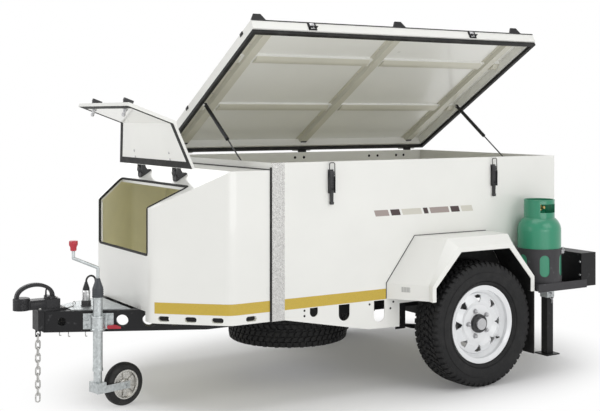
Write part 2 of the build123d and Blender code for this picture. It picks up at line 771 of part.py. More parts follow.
# Lid: a deep tray with swaged skin, ribs, seal and rack brackets
lid_plane = Plane(
    origin=(0, LID_HINGE_Y, LID_HINGE_Z),
    x_dir=(1, 0, 0),
    z_dir=(0, -math.sin(math.radians(LID_ANGLE)), math.cos(math.radians(LID_ANGLE))),
)
lid_front = fore(BODY_FRONT + LID_OVERHANG)
lid_rear = fore(BODY_REAR - LID_OVERHANG)
skin_under = LID_TOP - SHEET
hinge_xs = (fore(RIB_FRONT_X), fore(RIB_MIDDLE_X), fore(RIB_REAR_X))
knuckle_out = KNUCKLE_LONG / 2 + TOUCH_GAP + KNUCKLE_SHORT / 2
with BuildPart(lid_plane) as lid:
    block(lid_rear, lid_front, LID_ROOT, LID_REACH, LID_RIM_LOW, LID_TOP)
    block(lid_rear + LID_RIM, lid_front - LID_RIM, LID_ROOT + LID_RIM, LID_REACH - LID_RIM,
          LID_RIM_LOW, skin_under, mode=Mode.SUBTRACT)
    for swage_y in (SWAGE_LOW_Y, SWAGE_HIGH_Y):
        block(lid_rear + LID_RIM, lid_front - LID_RIM, swage_y - SWAGE_WIDTH / 2, swage_y + SWAGE_WIDTH / 2,
              skin_under - SWAGE_DEPTH, skin_under)
    for stud_x in (STRUT_FRONT_X + STRUT_EYE_THICK, STRUT_REAR_X - STRUT_EYE_THICK):
        rod_along("X", (fore(stud_x), STRUT_LID_Y, STRUT_LID_Z), STUD_R, 3 * STRUT_EYE_THICK)
    for hinge_x in hinge_xs:
        for knuckle_side in (-knuckle_out, knuckle_out):
            knuckle_x = hinge_x + knuckle_side
            rod_along("X", (knuckle_x, 0, 0), LID_KNUCKLE_R, KNUCKLE_SHORT)
            block(knuckle_x - KNUCKLE_SHORT / 2, knuckle_x + KNUCKLE_SHORT / 2, 0, LID_ROOT + SHEET,
                  LID_KNUCKLE_R - SHEET, LID_RIM_LOW + SHEET)
            rod_along("X", (knuckle_x, 0, 0), LID_PIN_R + RUNNING_GAP, KNUCKLE_SHORT, mode=Mode.SUBTRACT)
save(lid.part, "lid_tray")

rib_plane = Plane(
    origin=lid_plane.from_local_coords((0, LID_ROOT + LID_RIM, skin_under)),
    x_dir=(1, 0, 0),
    z_dir=-lid_plane.y_dir,
)
with BuildPart() as rib_hats:
    with BuildSketch(rib_plane):
        for rib_x in hinge_xs:
            with Locations((rib_x, 0)):
                Polygon(
                    (-RIB_WIDTH / 2 - RIB_FLANGE, 0),
                    (-RIB_WIDTH / 2 - RIB_FLANGE, -RIB_SHEET),
                    (-RIB_WIDTH / 2, -RIB_SHEET),
                    (-RIB_CROWN / 2, -RIB_DEPTH),
                    (RIB_CROWN / 2, -RIB_DEPTH),
                    (RIB_WIDTH / 2, -RIB_SHEET),
                    (RIB_WIDTH / 2 + RIB_FLANGE, -RIB_SHEET),
                    (RIB_WIDTH / 2 + RIB_FLANGE, 0),
                    align=None,
                )
    extrude(amount=-(LID_REACH - LID_ROOT - 2 * LID_RIM))
with BuildPart(lid_plane) as swage_bars:
    for swage_y in (SWAGE_LOW_Y, SWAGE_HIGH_Y):
        block(lid_rear, lid_front, swage_y - SWAGE_WIDTH / 2, swage_y + SWAGE_WIDTH / 2,
              skin_under - SWAGE_DEPTH, skin_under)
with BuildPart() as ribs:
    add(rib_hats.part)
    add(swage_bars.part, mode=Mode.SUBTRACT)
save(ribs.part, "lid_ribs")

seal_low = BODY_TOP + LID_GAP - LID_HINGE_Z
with BuildPart(lid_plane) as lid_seal:
    block(lid_rear, lid_front, LID_ROOT, LID_REACH - LID_OVERHANG, seal_low, LID_RIM_LOW)
    block(lid_rear + LID_SEAL_WIDTH, lid_front - LID_SEAL_WIDTH, LID_ROOT + LID_SEAL_WIDTH,
          LID_REACH - LID_OVERHANG - LID_SEAL_WIDTH, seal_low, LID_RIM_LOW, mode=Mode.SUBTRACT)
    block(lid_rear, lid_front, 0, LID_ROOT + SHEET, seal_low, LID_RIM_LOW, mode=Mode.SUBTRACT)
save(lid_seal.part, "lid_seal")

rack_plane = Plane(
    origin=lid_plane.from_local_coords((0, LID_REACH - RACK_INSET, LID_TOP)),
    x_dir=(1, 0, 0),
    z_dir=-lid_plane.y_dir,
)
far_rack_plane = Plane(
    origin=lid_plane.from_local_coords((0, LID_ROOT + RACK_INSET + RACK_THICK, LID_TOP)),
    x_dir=(1, 0, 0),
    z_dir=-lid_plane.y_dir,
)
rack_xs = (fore(RACK_FRONT_X), fore(RIB_MIDDLE_X), fore(RACK_REAR_X))
with BuildPart() as racks:
    for edge_plane, hole_lift in ((rack_plane, 0), (far_rack_plane, RACK_FAR_LIFT)):
        with BuildSketch(edge_plane):
            for rack_x in rack_xs:
                with Locations((rack_x, 0)):
                    Polygon(
                        (-RACK_BASE / 2, 0),
                        (RACK_BASE / 2, 0),
                        (RACK_TIP / 2, RACK_HIGH),
                        (-RACK_TIP / 2, RACK_HIGH),
                        align=None,
                    )
                with Locations((rack_x, RACK_HIGH / 3 + hole_lift)):
                    with GridLocations(RACK_PITCH, 1, 2, 1):
                        Circle(RACK_HOLE_R, mode=Mode.SUBTRACT)
        extrude(amount=RACK_THICK)

with BuildPart(lid_plane) as strikers:
    for striker_x in (fore(LATCH_FRONT_X), fore(LATCH_REAR_X)):
        block(striker_x - LATCH_WIDTH / 2, striker_x + LATCH_WIDTH / 2, LID_REACH, LID_REACH + SHEET,
              LID_RIM_LOW + SHEET, LID_TOP - SHEET)
        block(striker_x - LATCH_WIDTH / 2, striker_x + LATCH_WIDTH / 2, LID_REACH, LID_REACH + 5 * SHEET,
              LID_RIM_LOW + 4 * SHEET, LID_RIM_LOW + 5 * SHEET)
with BuildPart() as lid_fittings:
    add(strikers.part)
    add(racks.part)
save(lid_fittings.part, "lid_fittings")

# Lid hinges on the right side panel
with BuildPart() as lid_hinges:
    for hinge_x in hinge_xs:
        rod_along("X", (hinge_x, LID_HINGE_Y, LID_HINGE_Z), LID_KNUCKLE_R, KNUCKLE_LONG)
        rod_along("X", (hinge_x, LID_HINGE_Y, LID_HINGE_Z), LID_PIN_R, KNUCKLE_LONG + 2 * KNUCKLE_SHORT)
        block(hinge_x - KNUCKLE_LONG / 2, hinge_x + KNUCKLE_LONG / 2, -BODY_HALF - SHEET, -BODY_HALF,
              LATCH_TOP, LID_HINGE_Z)
save(lid_hinges.part, "lid_hinges")

# Gas struts, from a stud on the lid down to a stud on the end wall
strut_top = lid_plane.from_local_coords((0, STRUT_LID_Y, STRUT_LID_Z))
strut_run = Vector(0, STRUT_STUD_Y, STRUT_STUD_Z) - Vector(0, strut_top.Y, strut_top.Z)
strut_long = strut_run.length
strut_plane = Plane(origin=(0, strut_top.Y, strut_top.Z), x_dir=(1, 0, 0), z_dir=strut_run)
strut_xs = (fore(STRUT_FRONT_X), fore(STRUT_REAR_X))
bore_low = 4 * STRUT_EYE_R
bore_long = STRUT_TUBE_LONG + STRUT_EYE_R - bore_low
rod_low = STRUT_TUBE_LONG - 5 * STRUT_EYE_R
rod_high = strut_long - STRUT_EYE_R / 2
with BuildPart(strut_plane) as strut_tubes:
    for strut_x in strut_xs:
        rod_along("Z", (strut_x, 0, STRUT_TUBE_LONG / 2 + STRUT_EYE_R), STRUT_TUBE_R,
                  STRUT_TUBE_LONG - STRUT_EYE_R)
        rod_along("X", (strut_x, 0, 0), STRUT_EYE_R, STRUT_EYE_THICK)
        block(strut_x - STRUT_EYE_THICK / 2, strut_x + STRUT_EYE_THICK / 2, -STUD_R, STUD_R,
              0, 2 * STRUT_EYE_R)
        rod_along("X", (strut_x, 0, 0), STUD_R + RUNNING_GAP, STRUT_EYE_THICK, mode=Mode.SUBTRACT)
        rod_along("Z", (strut_x, 0, bore_low + bore_long / 2), STRUT_ROD_R + RUNNING_GAP, bore_long,
                  mode=Mode.SUBTRACT)
save(strut_tubes.part, "strut_tubes")
with BuildPart(strut_plane) as strut_rods:
    for strut_x in strut_xs:
        rod_along("Z", (strut_x, 0, (rod_low + rod_high) / 2), STRUT_ROD_R, rod_high - rod_low)
        rod_along("X", (strut_x, 0, strut_long), STRUT_EYE_R, STRUT_EYE_THICK)
save(strut_rods.part, "strut_rods")

# Lid latches on the left side
with BuildPart() as latches:
    for latch_x in (fore(LATCH_FRONT_X), fore(LATCH_REAR_X)):
        block(latch_x - LATCH_WIDTH / 2, latch_x + LATCH_WIDTH / 2, BODY_HALF, BODY_HALF + LATCH_DEEP,
              LATCH_LOW, LATCH_TOP)
        block(latch_x - LATCH_WIDTH / 3, latch_x + LATCH_WIDTH / 3, BODY_HALF + SHEET,
              BODY_HALF + LATCH_DEEP / 2, LEVER_LOW, LATCH_LOW)
        bail_y = BODY_HALF + LATCH_DEEP / 2
        bail_half = LATCH_WIDTH / 2 - 2 * BAIL_R
        for bail_x in (latch_x - bail_half, latch_x + bail_half):
            rod_along("Z", (bail_x, bail_y, (LATCH_TOP + BAIL_TOP) / 2), BAIL_R, BAIL_TOP - LATCH_TOP)
        rod_along("X", (latch_x, bail_y, BAIL_TOP), BAIL_R, 2 * bail_half + 2 * BAIL_R)
save(latches.part, "lid_latches")


# Road wheels and the spare
def ring_plane(plane, place):
    """Plane across a wheel's axle, this far out from the middle of the wheel."""
    return Plane(origin=plane.origin + plane.y_dir * place, x_dir=plane.x_dir, z_dir=plane.y_dir)


def make_tyre(plane):
    """Many-sided tyre about the wheel plane's Y axis, its flats bearing on the round rim."""
    half = TYRE_WIDTH / 2
    bead_in = RIM_HALF - RIM_SHEET - SEAT_SLOPE - BEAD_GAP
    bead_out = RIM_HALF - RIM_SHEET - SEAT_SLOPE / 2
    with BuildPart() as tyre:
        for wall in (-1, 1):
            with BuildSketch(ring_plane(plane, wall * half)):
                RegularPolygon(BULGE_OUT_R, TYRE_SIDES)
            with BuildSketch(ring_plane(plane, wall * SHOULDER_HALF)):
                RegularPolygon(SHOULDER_R, TYRE_SIDES)
            with BuildSketch(ring_plane(plane, wall * TREAD_HALF)):
                RegularPolygon(TYRE_R, TYRE_SIDES)
            with BuildSketch(ring_plane(plane, 0)):
                RegularPolygon(TYRE_R, TYRE_SIDES)
            loft(ruled=True)
        for wall in (-1, 1):
            with BuildSketch(ring_plane(plane, wall * half)):
                RegularPolygon(BULGE_IN_R, TYRE_SIDES, major_radius=False)
            with BuildSketch(ring_plane(plane, wall * bead_out)):
                RegularPolygon(RIM_FLANGE_R + BEAD_OVER, TYRE_SIDES, major_radius=False)
            with BuildSketch(ring_plane(plane, wall * bead_in)):
                RegularPolygon(RIM_SEAT_R, TYRE_SIDES, major_radius=False)
            loft(ruled=True, mode=Mode.SUBTRACT)
        with BuildSketch(ring_plane(plane, -half)):
            RegularPolygon(RIM_SEAT_R, TYRE_SIDES, major_radius=False)
        extrude(amount=TYRE_WIDTH, mode=Mode.SUBTRACT)
    return tyre.part


def make_rim(plane):
    """Pressed steel rim: barrel with its well, dished disc, windows."""
    flange_in = RIM_HALF - RIM_SHEET
    seat_end = flange_in - SEAT_SLOPE
    ramp_rear = WELL_REAR - WELL_REAR_RAMP
    ramp_front = WELL_FRONT + WELL_FRONT_RAMP
    fold = RIM_SHEET / 2
    disc_edge = DISC_BACK - DISC_EDGE_DROP
    disc_crest = DISC_BACK + DISH_RISE
    with BuildPart() as rim:
        with BuildSketch(plane):
            Polygon(
                (RIM_FLANGE_R, -RIM_HALF),
                (RIM_FLANGE_R, -flange_in),
                (RIM_SEAT_R, -seat_end),
                (RIM_SEAT_R, ramp_rear),
                (WELL_R, WELL_REAR),
                (WELL_R, WELL_FRONT),
                (RIM_SEAT_R, ramp_front),
                (RIM_SEAT_R, seat_end),
                (RIM_FLANGE_R, flange_in),
                (RIM_FLANGE_R, RIM_HALF),
                (RIM_FLANGE_R - RIM_SHEET, RIM_HALF),
                (RIM_SEAT_R - RIM_SHEET, flange_in),
                (RIM_SEAT_R - RIM_SHEET, ramp_front + fold),
                (WELL_R - RIM_SHEET, WELL_FRONT + fold),
                (WELL_R - RIM_SHEET, WELL_REAR - fold),
                (RIM_SEAT_R - RIM_SHEET, ramp_rear - fold),
                (RIM_SEAT_R - RIM_SHEET, -flange_in),
                (RIM_FLANGE_R - RIM_SHEET, -RIM_HALF),
                align=None,
            )
            Polygon(
                (DISC_HOLE_R, DISC_BACK),
                (DISH_FOOT_R, DISC_BACK),
                (DISH_CREST_R, disc_crest),
                (DISC_EDGE_R, disc_edge),
                (DISC_EDGE_R, disc_edge + DISC_THICK),
                (DISH_CREST_R, disc_crest + DISC_THICK),
                (DISH_FOOT_R, DISC_BACK + DISC_THICK),
                (DISC_HOLE_R, DISC_BACK + DISC_THICK),
                align=None,
            )
        revolve(axis=Axis(plane.origin, plane.y_dir))
        with BuildSketch(ring_plane(plane, 0)):
            with PolarLocations(0, WINDOW_COUNT):
                Polygon(
                    (WINDOW_IN_R, 0),
                    (WINDOW_OUT_R, WINDOW_HALF),
                    (WINDOW_CROWN_R, 0),
                    (WINDOW_OUT_R, -WINDOW_HALF),
                    align=None,
                )
        extrude(amount=RIM_HALF, mode=Mode.SUBTRACT)
    return rim.part


def make_hub(plane):
    """Drum and hub with its cap, bored for the spindle."""
    with BuildPart() as hub:
        with BuildSketch(plane):
            Polygon(
                (HUB_BORE_R + RUNNING_GAP, DRUM_BACK),
                (DRUM_R, DRUM_BACK),
                (DRUM_R, DRUM_FACE),
                (HUB_FLANGE_R, DRUM_FACE),
                (HUB_FLANGE_R, DISC_BACK),
                (DISC_HOLE_R, DISC_BACK),
                (DISC_HOLE_R, HUB_RING_FACE),
                (HUB_CAP_R, HUB_RING_FACE),
                (HUB_CAP_R - HUB_CAP_TAPER, HUB_CAP_FACE),
                (0, HUB_CAP_FACE),
                (0, HUB_BORE_END),
                (HUB_BORE_R + RUNNING_GAP, HUB_BORE_END),
                align=None,
            )
        revolve(axis=Axis(plane.origin, plane.y_dir))
    return hub.part


wheel_plane = Plane(origin=(AXLE_X, TYRE_Y, AXLE_Z), x_dir=(0, 0, 1), z_dir=(-1, 0, 0))
save_pair(make_tyre(wheel_plane), "tyre")
save_pair(make_rim(wheel_plane), "rim")
save_pair(make_hub(wheel_plane), "hub")

spare_plane = Plane(origin=(fore(SPARE_X), 0, SPARE_Z), x_dir=(1, 0, 0), z_dir=(0, 1, 0))
save(make_tyre(spare_plane), "spare_tyre")
save(make_rim(spare_plane), "spare_rim")
with BuildPart() as spare_carrier:
    disc_face = SPARE_Z - DISC_BACK - DISC_THICK
    rod_along("Z", (fore(SPARE_X), 0, disc_face - CARRIER_THICK / 2), CARRIER_R, CARRIER_THICK)
    rod_along("Z", (fore(SPARE_X), 0, (disc_face + BODY_BASE) / 2), CARRIER_ROD_R, BODY_BASE - disc_face)
save(spare_carrier.part, "spare_carrier")

# Axle beam with spindles and spring seats
spindle_start = TYRE_Y - BEAM_SHORT
spindle_end = TYRE_Y + HUB_BORE_END - SPINDLE_SHORT
seat_low = AXLE_Z - BEAM / 2 - SEAT_DROP
with BuildPart() as axle:
    block(AXLE_X - BEAM / 2, AXLE_X + BEAM / 2, -spindle_start, spindle_start,
          AXLE_Z - BEAM / 2, AXLE_Z + BEAM / 2)
    for seat_y in (-SPRING_Y, SPRING_Y):
        block(AXLE_X - BEAM / 2, AXLE_X + BEAM / 2, seat_y - SPRING_WIDTH / 2, seat_y + SPRING_WIDTH / 2,
              seat_low, AXLE_Z)
    rod_along("Y", (AXLE_X, 0, AXLE_Z), HUB_BORE_R, 2 * spindle_end)
save(axle.part, "axle_beam")

spring_mid = seat_low - TOUCH_GAP
spring_curve = (SPRING_HALF**2 + SPRING_RISE**2) / (2 * SPRING_RISE)


def leaf_rise(reach):
    """How far a leaf has climbed at this distance from its middle."""
    return spring_curve - math.sqrt(spring_curve**2 - reach**2)


eye_z = spring_mid + SPRING_RISE - LEAF / 2
eye_xs = (fore(-SPRING_HALF), fore(SPRING_HALF))
with BuildPart() as springs:
    for leaf_number in range(LEAF_COUNT):
        leaf_half = SPRING_HALF - leaf_number * SPRING_HALF / (LEAF_COUNT + 1)
        leaf_top = spring_mid - leaf_number * LEAF
        with BuildSketch(Plane.XZ.offset(-SPRING_Y - SPRING_WIDTH / 2)):
            with BuildLine():
                leaf_end = leaf_top + leaf_rise(leaf_half)
                ThreePointArc((fore(-leaf_half), leaf_end), (AXLE_X, leaf_top), (fore(leaf_half), leaf_end))
                Line((fore(leaf_half), leaf_end), (fore(leaf_half), leaf_end - LEAF))
                ThreePointArc(
                    (fore(leaf_half), leaf_end - LEAF),
                    (AXLE_X, leaf_top - LEAF),
                    (fore(-leaf_half), leaf_end - LEAF),
                )
                Line((fore(-leaf_half), leaf_end - LEAF), (fore(-leaf_half), leaf_end))
            make_face()
        extrude(amount=SPRING_WIDTH)
    for eye_x in eye_xs:
        rod_along("Y", (eye_x, SPRING_Y, eye_z), EYE_R, SPRING_WIDTH)
    for eye_x in eye_xs:
        rod_along("Y", (eye_x, SPRING_Y, eye_z), SPRING_PIN_R + RUNNING_GAP, SPRING_WIDTH,
                  mode=Mode.SUBTRACT)
    mirror(about=Plane.XZ)
save(springs.part, "leaf_springs")

hanger_in = SPRING_Y - SPRING_WIDTH / 2 - TOUCH_GAP
hanger_out = SPRING_Y + SPRING_WIDTH / 2 + TOUCH_GAP
hanger_top = BODY_BASE - SHEET
with BuildPart() as hangers:
    for eye_x in eye_xs:
        for cheek_y in (hanger_in - HANGER_CHEEK, hanger_out):
            block(eye_x - HANGER_HALF, eye_x + HANGER_HALF, cheek_y, cheek_y + HANGER_CHEEK,
                  eye_z - HANGER_DROP, hanger_top)
        block(eye_x - HANGER_HALF, eye_x + HANGER_HALF, hanger_in - HANGER_CHEEK, hanger_out + HANGER_CHEEK,
              hanger_top - HANGER_TOP, hanger_top)
        rod_along("Y", (eye_x, SPRING_Y, eye_z), SPRING_PIN_R,
                  hanger_out - hanger_in + 2 * HANGER_CHEEK + 2 * SPRING_PIN_OVER)
    mirror(about=Plane.XZ)
save(hangers.part, "spring_hangers")


# Fenders: folded shells with a chamfered outer edge
def fender_section(front, front_top, rear_top, rear, top, inset):
    """Corners of a fender section, drawn in by the inset to make the shell's inside."""
    low = FENDER_LOW - 3 * inset
    knee = FENDER_KNEE - inset / 2
    return (
        (fore(front - inset), low),
        (fore(front - inset), knee),
        (fore(front_top - inset), top - inset),
        (fore(rear_top + inset), top - inset),
        (fore(rear + inset), knee),
        (fore(rear + inset), low),
    )


with BuildPart() as fender:
    with BuildSketch(Plane.XZ.offset(-BODY_HALF)):
        Polygon(*fender_section(ROOT_FRONT, ROOT_FRONT_TOP, ROOT_REAR_TOP, ROOT_REAR, FENDER_TOP, 0),
                align=None)
    with BuildSketch(Plane.XZ.offset(-FENDER_EDGE_Y)):
        Polygon(*fender_section(FOLD_FRONT, FOLD_FRONT_TOP, FOLD_REAR_TOP, FOLD_REAR, FENDER_TOP, 0),
                align=None)
    with BuildSketch(Plane.XZ.offset(-FENDER_FACE_Y)):
        Polygon(*fender_section(FACE_FRONT, FACE_FRONT_TOP, FACE_REAR_TOP, FACE_REAR, FENDER_FACE_TOP, 0),
                align=None)
    loft(ruled=True)
    with BuildSketch(Plane.XZ.offset(-BODY_HALF + TOUCH_GAP)):
        Polygon(*fender_section(ROOT_FRONT, ROOT_FRONT_TOP, ROOT_REAR_TOP, ROOT_REAR, FENDER_TOP, SHEET),
                align=None)
    with BuildSketch(Plane.XZ.offset(-FENDER_EDGE_Y)):
        Polygon(*fender_section(FOLD_FRONT, FOLD_FRONT_TOP, FOLD_REAR_TOP, FOLD_REAR, FENDER_TOP, SHEET),
                align=None)
    with BuildSketch(Plane.XZ.offset(-FENDER_FACE_Y + SHEET)):
        Polygon(*fender_section(FACE_FRONT, FACE_FRONT_TOP, FACE_REAR_TOP, FACE_REAR, FENDER_FACE_TOP,
                                SHEET), align=None)
    loft(ruled=True, mode=Mode.SUBTRACT)
    with BuildSketch(Plane.XZ.offset(-FENDER_FACE_Y - SHEET)):
        Polygon(
            (fore(ARCH_FRONT), FENDER_LOW - WALL),
            (fore(ARCH_FRONT), ARCH_LOW),
            (fore(ARCH_FRONT_TOP), ARCH_TOP),
            (fore(ARCH_REAR_TOP), ARCH_TOP),
            (fore(ARCH_REAR), ARCH_LOW),
            (fore(ARCH_REAR), FENDER_LOW - WALL),
            align=None,
        )
    extrude(amount=4 * SHEET, mode=Mode.SUBTRACT)
    mirror(about=Plane.XZ)
save(fender.part, "fenders")

with BuildPart() as mudflaps:
    block(fore(FACE_REAR), fore(FACE_REAR + FLAP_THICK), BODY_HALF + FLAP_INSET, FENDER_FACE_Y,
          FLAP_LOW, FENDER_LOW)
    mirror(about=Plane.XZ)
save(mudflaps.part, "mudflaps")

# Frame: rails, drawbar arms, head and crossmembers
arm_step = RAIL_WIDE / math.cos(math.radians(SPLAY))
splay_tan = math.tan(math.radians(SPLAY))
inner_bend = DRAW_TIP_X - (RAIL_OUT - RAIL_WIDE + arm_step - DRAW_TIP_Y) / splay_tan
arm_cross = DRAW_TIP_X - (arm_step - DRAW_TIP_Y) / splay_tan
with BuildPart() as rail:
    with BuildSketch(Plane.XY.offset(RAIL_LOW)):
        Polygon(
            (fore(BODY_REAR), RAIL_OUT),
            (fore(DRAW_BEND_X), RAIL_OUT),
            (fore(inner_bend), RAIL_OUT - RAIL_WIDE),
            (fore(BODY_REAR), RAIL_OUT - RAIL_WIDE),
            align=None,
        )
    extrude(amount=BODY_BASE - RAIL_LOW)
    mirror(about=Plane.XZ)
save(rail.part, "rails")

arm_plane = Plane(
    origin=(fore(DRAW_TIP_X), DRAW_TIP_Y, (RAIL_LOW + BODY_BASE) / 2),
    x_dir=(-math.cos(math.radians(SPLAY)), math.sin(math.radians(SPLAY)), 0),
    z_dir=(math.sin(math.radians(SPLAY)), math.cos(math.radians(SPLAY)), 0),
)
with BuildPart() as arm:
    with BuildSketch(Plane.XY.offset(RAIL_LOW)):
        Polygon(
            (fore(DRAW_TIP_X), TOUCH_GAP / 2),
            (fore(DRAW_TIP_X), DRAW_TIP_Y),
            (fore(DRAW_BEND_X), RAIL_OUT),
            (fore(inner_bend), RAIL_OUT - RAIL_WIDE),
            (fore(arm_cross), TOUCH_GAP / 2),
            align=None,
        )
    extrude(amount=BODY_BASE - RAIL_LOW)
    with BuildSketch(arm_plane):
        with Locations((ARM_FRONT_HOLE, 0)):
            Circle(ARM_FRONT_HOLE_R)
        for hole_number in range(ARM_HOLE_COUNT):
            with Locations((ARM_HOLE_FIRST + hole_number * ARM_HOLE_PITCH, 0)):
                Circle(ARM_HOLE_R)
    extrude(amount=-2 * RAIL_WIDE, mode=Mode.SUBTRACT)
    mirror(about=Plane.XZ)
save(arm.part, "drawbar_arms")

with BuildPart() as head:
    block(fore(DRAW_TIP_X), fore(DRAW_TIP_X + HEAD_LONG), -HEAD_HALF, HEAD_HALF, HEAD_LOW, BODY_BASE)
    block(fore(CHAIN_X - CHAIN_LUG_REAR), fore(CHAIN_X + CHAIN_LUG_FRONT), -CHAIN_LUG_HALF, CHAIN_LUG_HALF,
          CHAIN_LUG_LOW, HEAD_LOW)
    rod_along("Y", (fore(CHAIN_X), 0, CHAIN_EYE_Z), CHAIN_EYE_R, 4 * CHAIN_LUG_HALF, mode=Mode.SUBTRACT)
save(head.part, "drawbar_head")

outrigger_end = BODY_HALF - SKIRT_FLANGE
with BuildPart() as crossmembers:
    for cross_x in (CROSS_FRONT_X, CROSS_MIDDLE_X, -CROSS_MIDDLE_X, CROSS_REAR_X):
        block(fore(cross_x - CROSS_WIDE / 2), fore(cross_x + CROSS_WIDE / 2), RAIL_WIDE - RAIL_OUT,
              RAIL_OUT - RAIL_WIDE, CROSS_LOW, BODY_BASE)
    for out_x in (CROSS_FRONT_X, OUTRIGGER_X, -OUTRIGGER_X, CROSS_REAR_X):
        for out_y in (RAIL_OUT, -outrigger_end):
            block(fore(out_x - OUTRIGGER_WIDE / 2), fore(out_x + OUTRIGGER_WIDE / 2), out_y,
                  out_y + outrigger_end - RAIL_OUT, CROSS_LOW, BODY_BASE)
save(crossmembers.part, "crossmembers")

with BuildPart() as top_plate:
    with BuildSketch(Plane.XY.offset(BODY_BASE)):
        Polygon(
            (fore(PLATE_FRONT), PLATE_FRONT_HALF),
            (fore(PLATE_REAR), PLATE_REAR_HALF),
            (fore(PLATE_REAR), -PLATE_REAR_HALF),
            (fore(PLATE_FRONT), -PLATE_FRONT_HALF),
            align=None,
        )
    extrude(amount=PLATE_THICK)
save(top_plate.part, "drawbar_plate")

# Coupling with its ball socket and carrying loop
ball_x = fore(FRONT_REACH - CUP_R)
with BuildPart() as coupling:
    rod_along("Z", (ball_x, 0, (CUP_MOUTH + CUP_TOP) / 2), CUP_R, CUP_TOP - CUP_MOUTH)
    fillet(coupling.edges().group_by(Axis.Z)[-1], HANDLE_SETBACK)
    block(fore(COUPLING_REAR), fore(DRAW_TIP_X + HEAD_LONG), -COUPLING_HALF, COUPLING_HALF,
          BODY_BASE, CUP_MOUTH)
    block(fore(SHANK_REAR), ball_x, -SHANK_HALF, SHANK_HALF, CUP_MOUTH, SHANK_TOP)
    block(fore(LATCH_BLOCK_REAR), fore(LATCH_BLOCK_REAR + LATCH_BLOCK_LONG), -LATCH_BLOCK_HALF,
          LATCH_BLOCK_HALF, SHANK_TOP, CUP_TOP)
    rod_along("Z", (ball_x, 0, CUP_MOUTH + SOCKET_DEEP / 2), BALL_R, SOCKET_DEEP, mode=Mode.SUBTRACT)
    with Locations((ball_x, 0, CUP_MOUTH + SOCKET_DEEP)):
        Sphere(BALL_R, mode=Mode.SUBTRACT)

handle_rear = fore(LATCH_BLOCK_REAR)
handle_front = ball_x + CUP_R - HANDLE_SETBACK
handle_x = (handle_rear + handle_front) / 2
handle_reach = (handle_front - handle_rear) / 2
with BuildPart() as handle:
    with BuildSketch(Plane.XZ.offset(-HANDLE_HALF)):
        with Locations((handle_x, CUP_TOP)):
            Ellipse(handle_reach, HANDLE_TOP - CUP_TOP)
            Ellipse(handle_reach - HANDLE_THICK, HANDLE_TOP - CUP_TOP - HANDLE_THICK, mode=Mode.SUBTRACT)
        with Locations((handle_x, CUP_TOP - HANDLE_TOP / 2)):
            Rectangle(4 * handle_reach, HANDLE_TOP, mode=Mode.SUBTRACT)
    extrude(amount=2 * HANDLE_HALF)
    add(coupling.part)
save(handle.part, "coupling")


# Safety chain
def link_outline(long, wide, corner):
    """Corners of an eight-sided link outline."""
    return (
        (long / 2, wide / 2 - corner),
        (long / 2 - corner, wide / 2),
        (corner - long / 2, wide / 2),
        (-long / 2, wide / 2 - corner),
        (-long / 2, corner - wide / 2),
        (corner - long / 2, -wide / 2),
        (long / 2 - corner, -wide / 2),
        (long / 2, corner - wide / 2),
    )


link_pitch = LINK_LONG - 2 * LINK_WIRE - LINK_SLACK
first_link = CHAIN_EYE_Z - CHAIN_EYE_R + LINK_LIFT - (LINK_LONG / 2 - LINK_WIRE)
with BuildPart() as chain:
    for link_number in range(LINK_COUNT):
        link_z = first_link - link_number * link_pitch
        link_axis = (0, -1, 0) if link_number % 2 else (1, 0, 0)
        with BuildSketch(Plane(origin=(fore(CHAIN_X), 0, link_z), x_dir=(0, 0, 1), z_dir=link_axis)):
            Polygon(*link_outline(LINK_LONG, LINK_WIDE, LINK_CORNER), align=None)
            Polygon(*link_outline(LINK_LONG - 2 * LINK_WIRE, LINK_WIDE - 2 * LINK_WIRE, LINK_CORNER / 3),
                    align=None, mode=Mode.SUBTRACT)
        extrude(amount=LINK_WIRE / 2, both=True)
save(chain.part, "safety_chain")

# Parked plug, its holder and its lead
plug_x = fore(PLUG_X)
lead_start = PLUG_TOP + RELIEF_LONG
lead_back = plug_x - 2 * LEAD_BEND
with BuildPart() as plug_holder:
    rod_along("Z", (plug_x, PLUG_Y, (PLATE_TOP + PLUG_LOW) / 2), PLUG_CUP_R, PLUG_LOW - PLATE_TOP)
with BuildPart() as plug:
    rod_along("Z", (plug_x, PLUG_Y, (PLUG_LOW + PLUG_TOP) / 2), PLUG_R, PLUG_TOP - PLUG_LOW)
save(plug.part, "trailer_plug")
with BuildPart() as lead:
    with BuildLine() as lead_path:
        ThreePointArc(
            (plug_x, PLUG_Y, lead_start),
            (plug_x - LEAD_BEND, PLUG_Y, lead_start + LEAD_BEND),
            (lead_back, PLUG_Y, lead_start),
        )
        Line((lead_back, PLUG_Y, lead_start), (lead_back, PLUG_Y, PLATE_TOP))
    with BuildSketch(Plane(origin=(plug_x, PLUG_Y, lead_start), z_dir=(0, 0, 1))):
        Circle(LEAD_R)
    sweep(path=lead_path.wires()[0])
    with Locations((plug_x, PLUG_Y, (PLUG_TOP + lead_start) / 2)):
        Cone(RELIEF_R, RELIEF_TIP_R, RELIEF_LONG)
    add(plug_holder.part)
save(lead.part, "plug_lead")

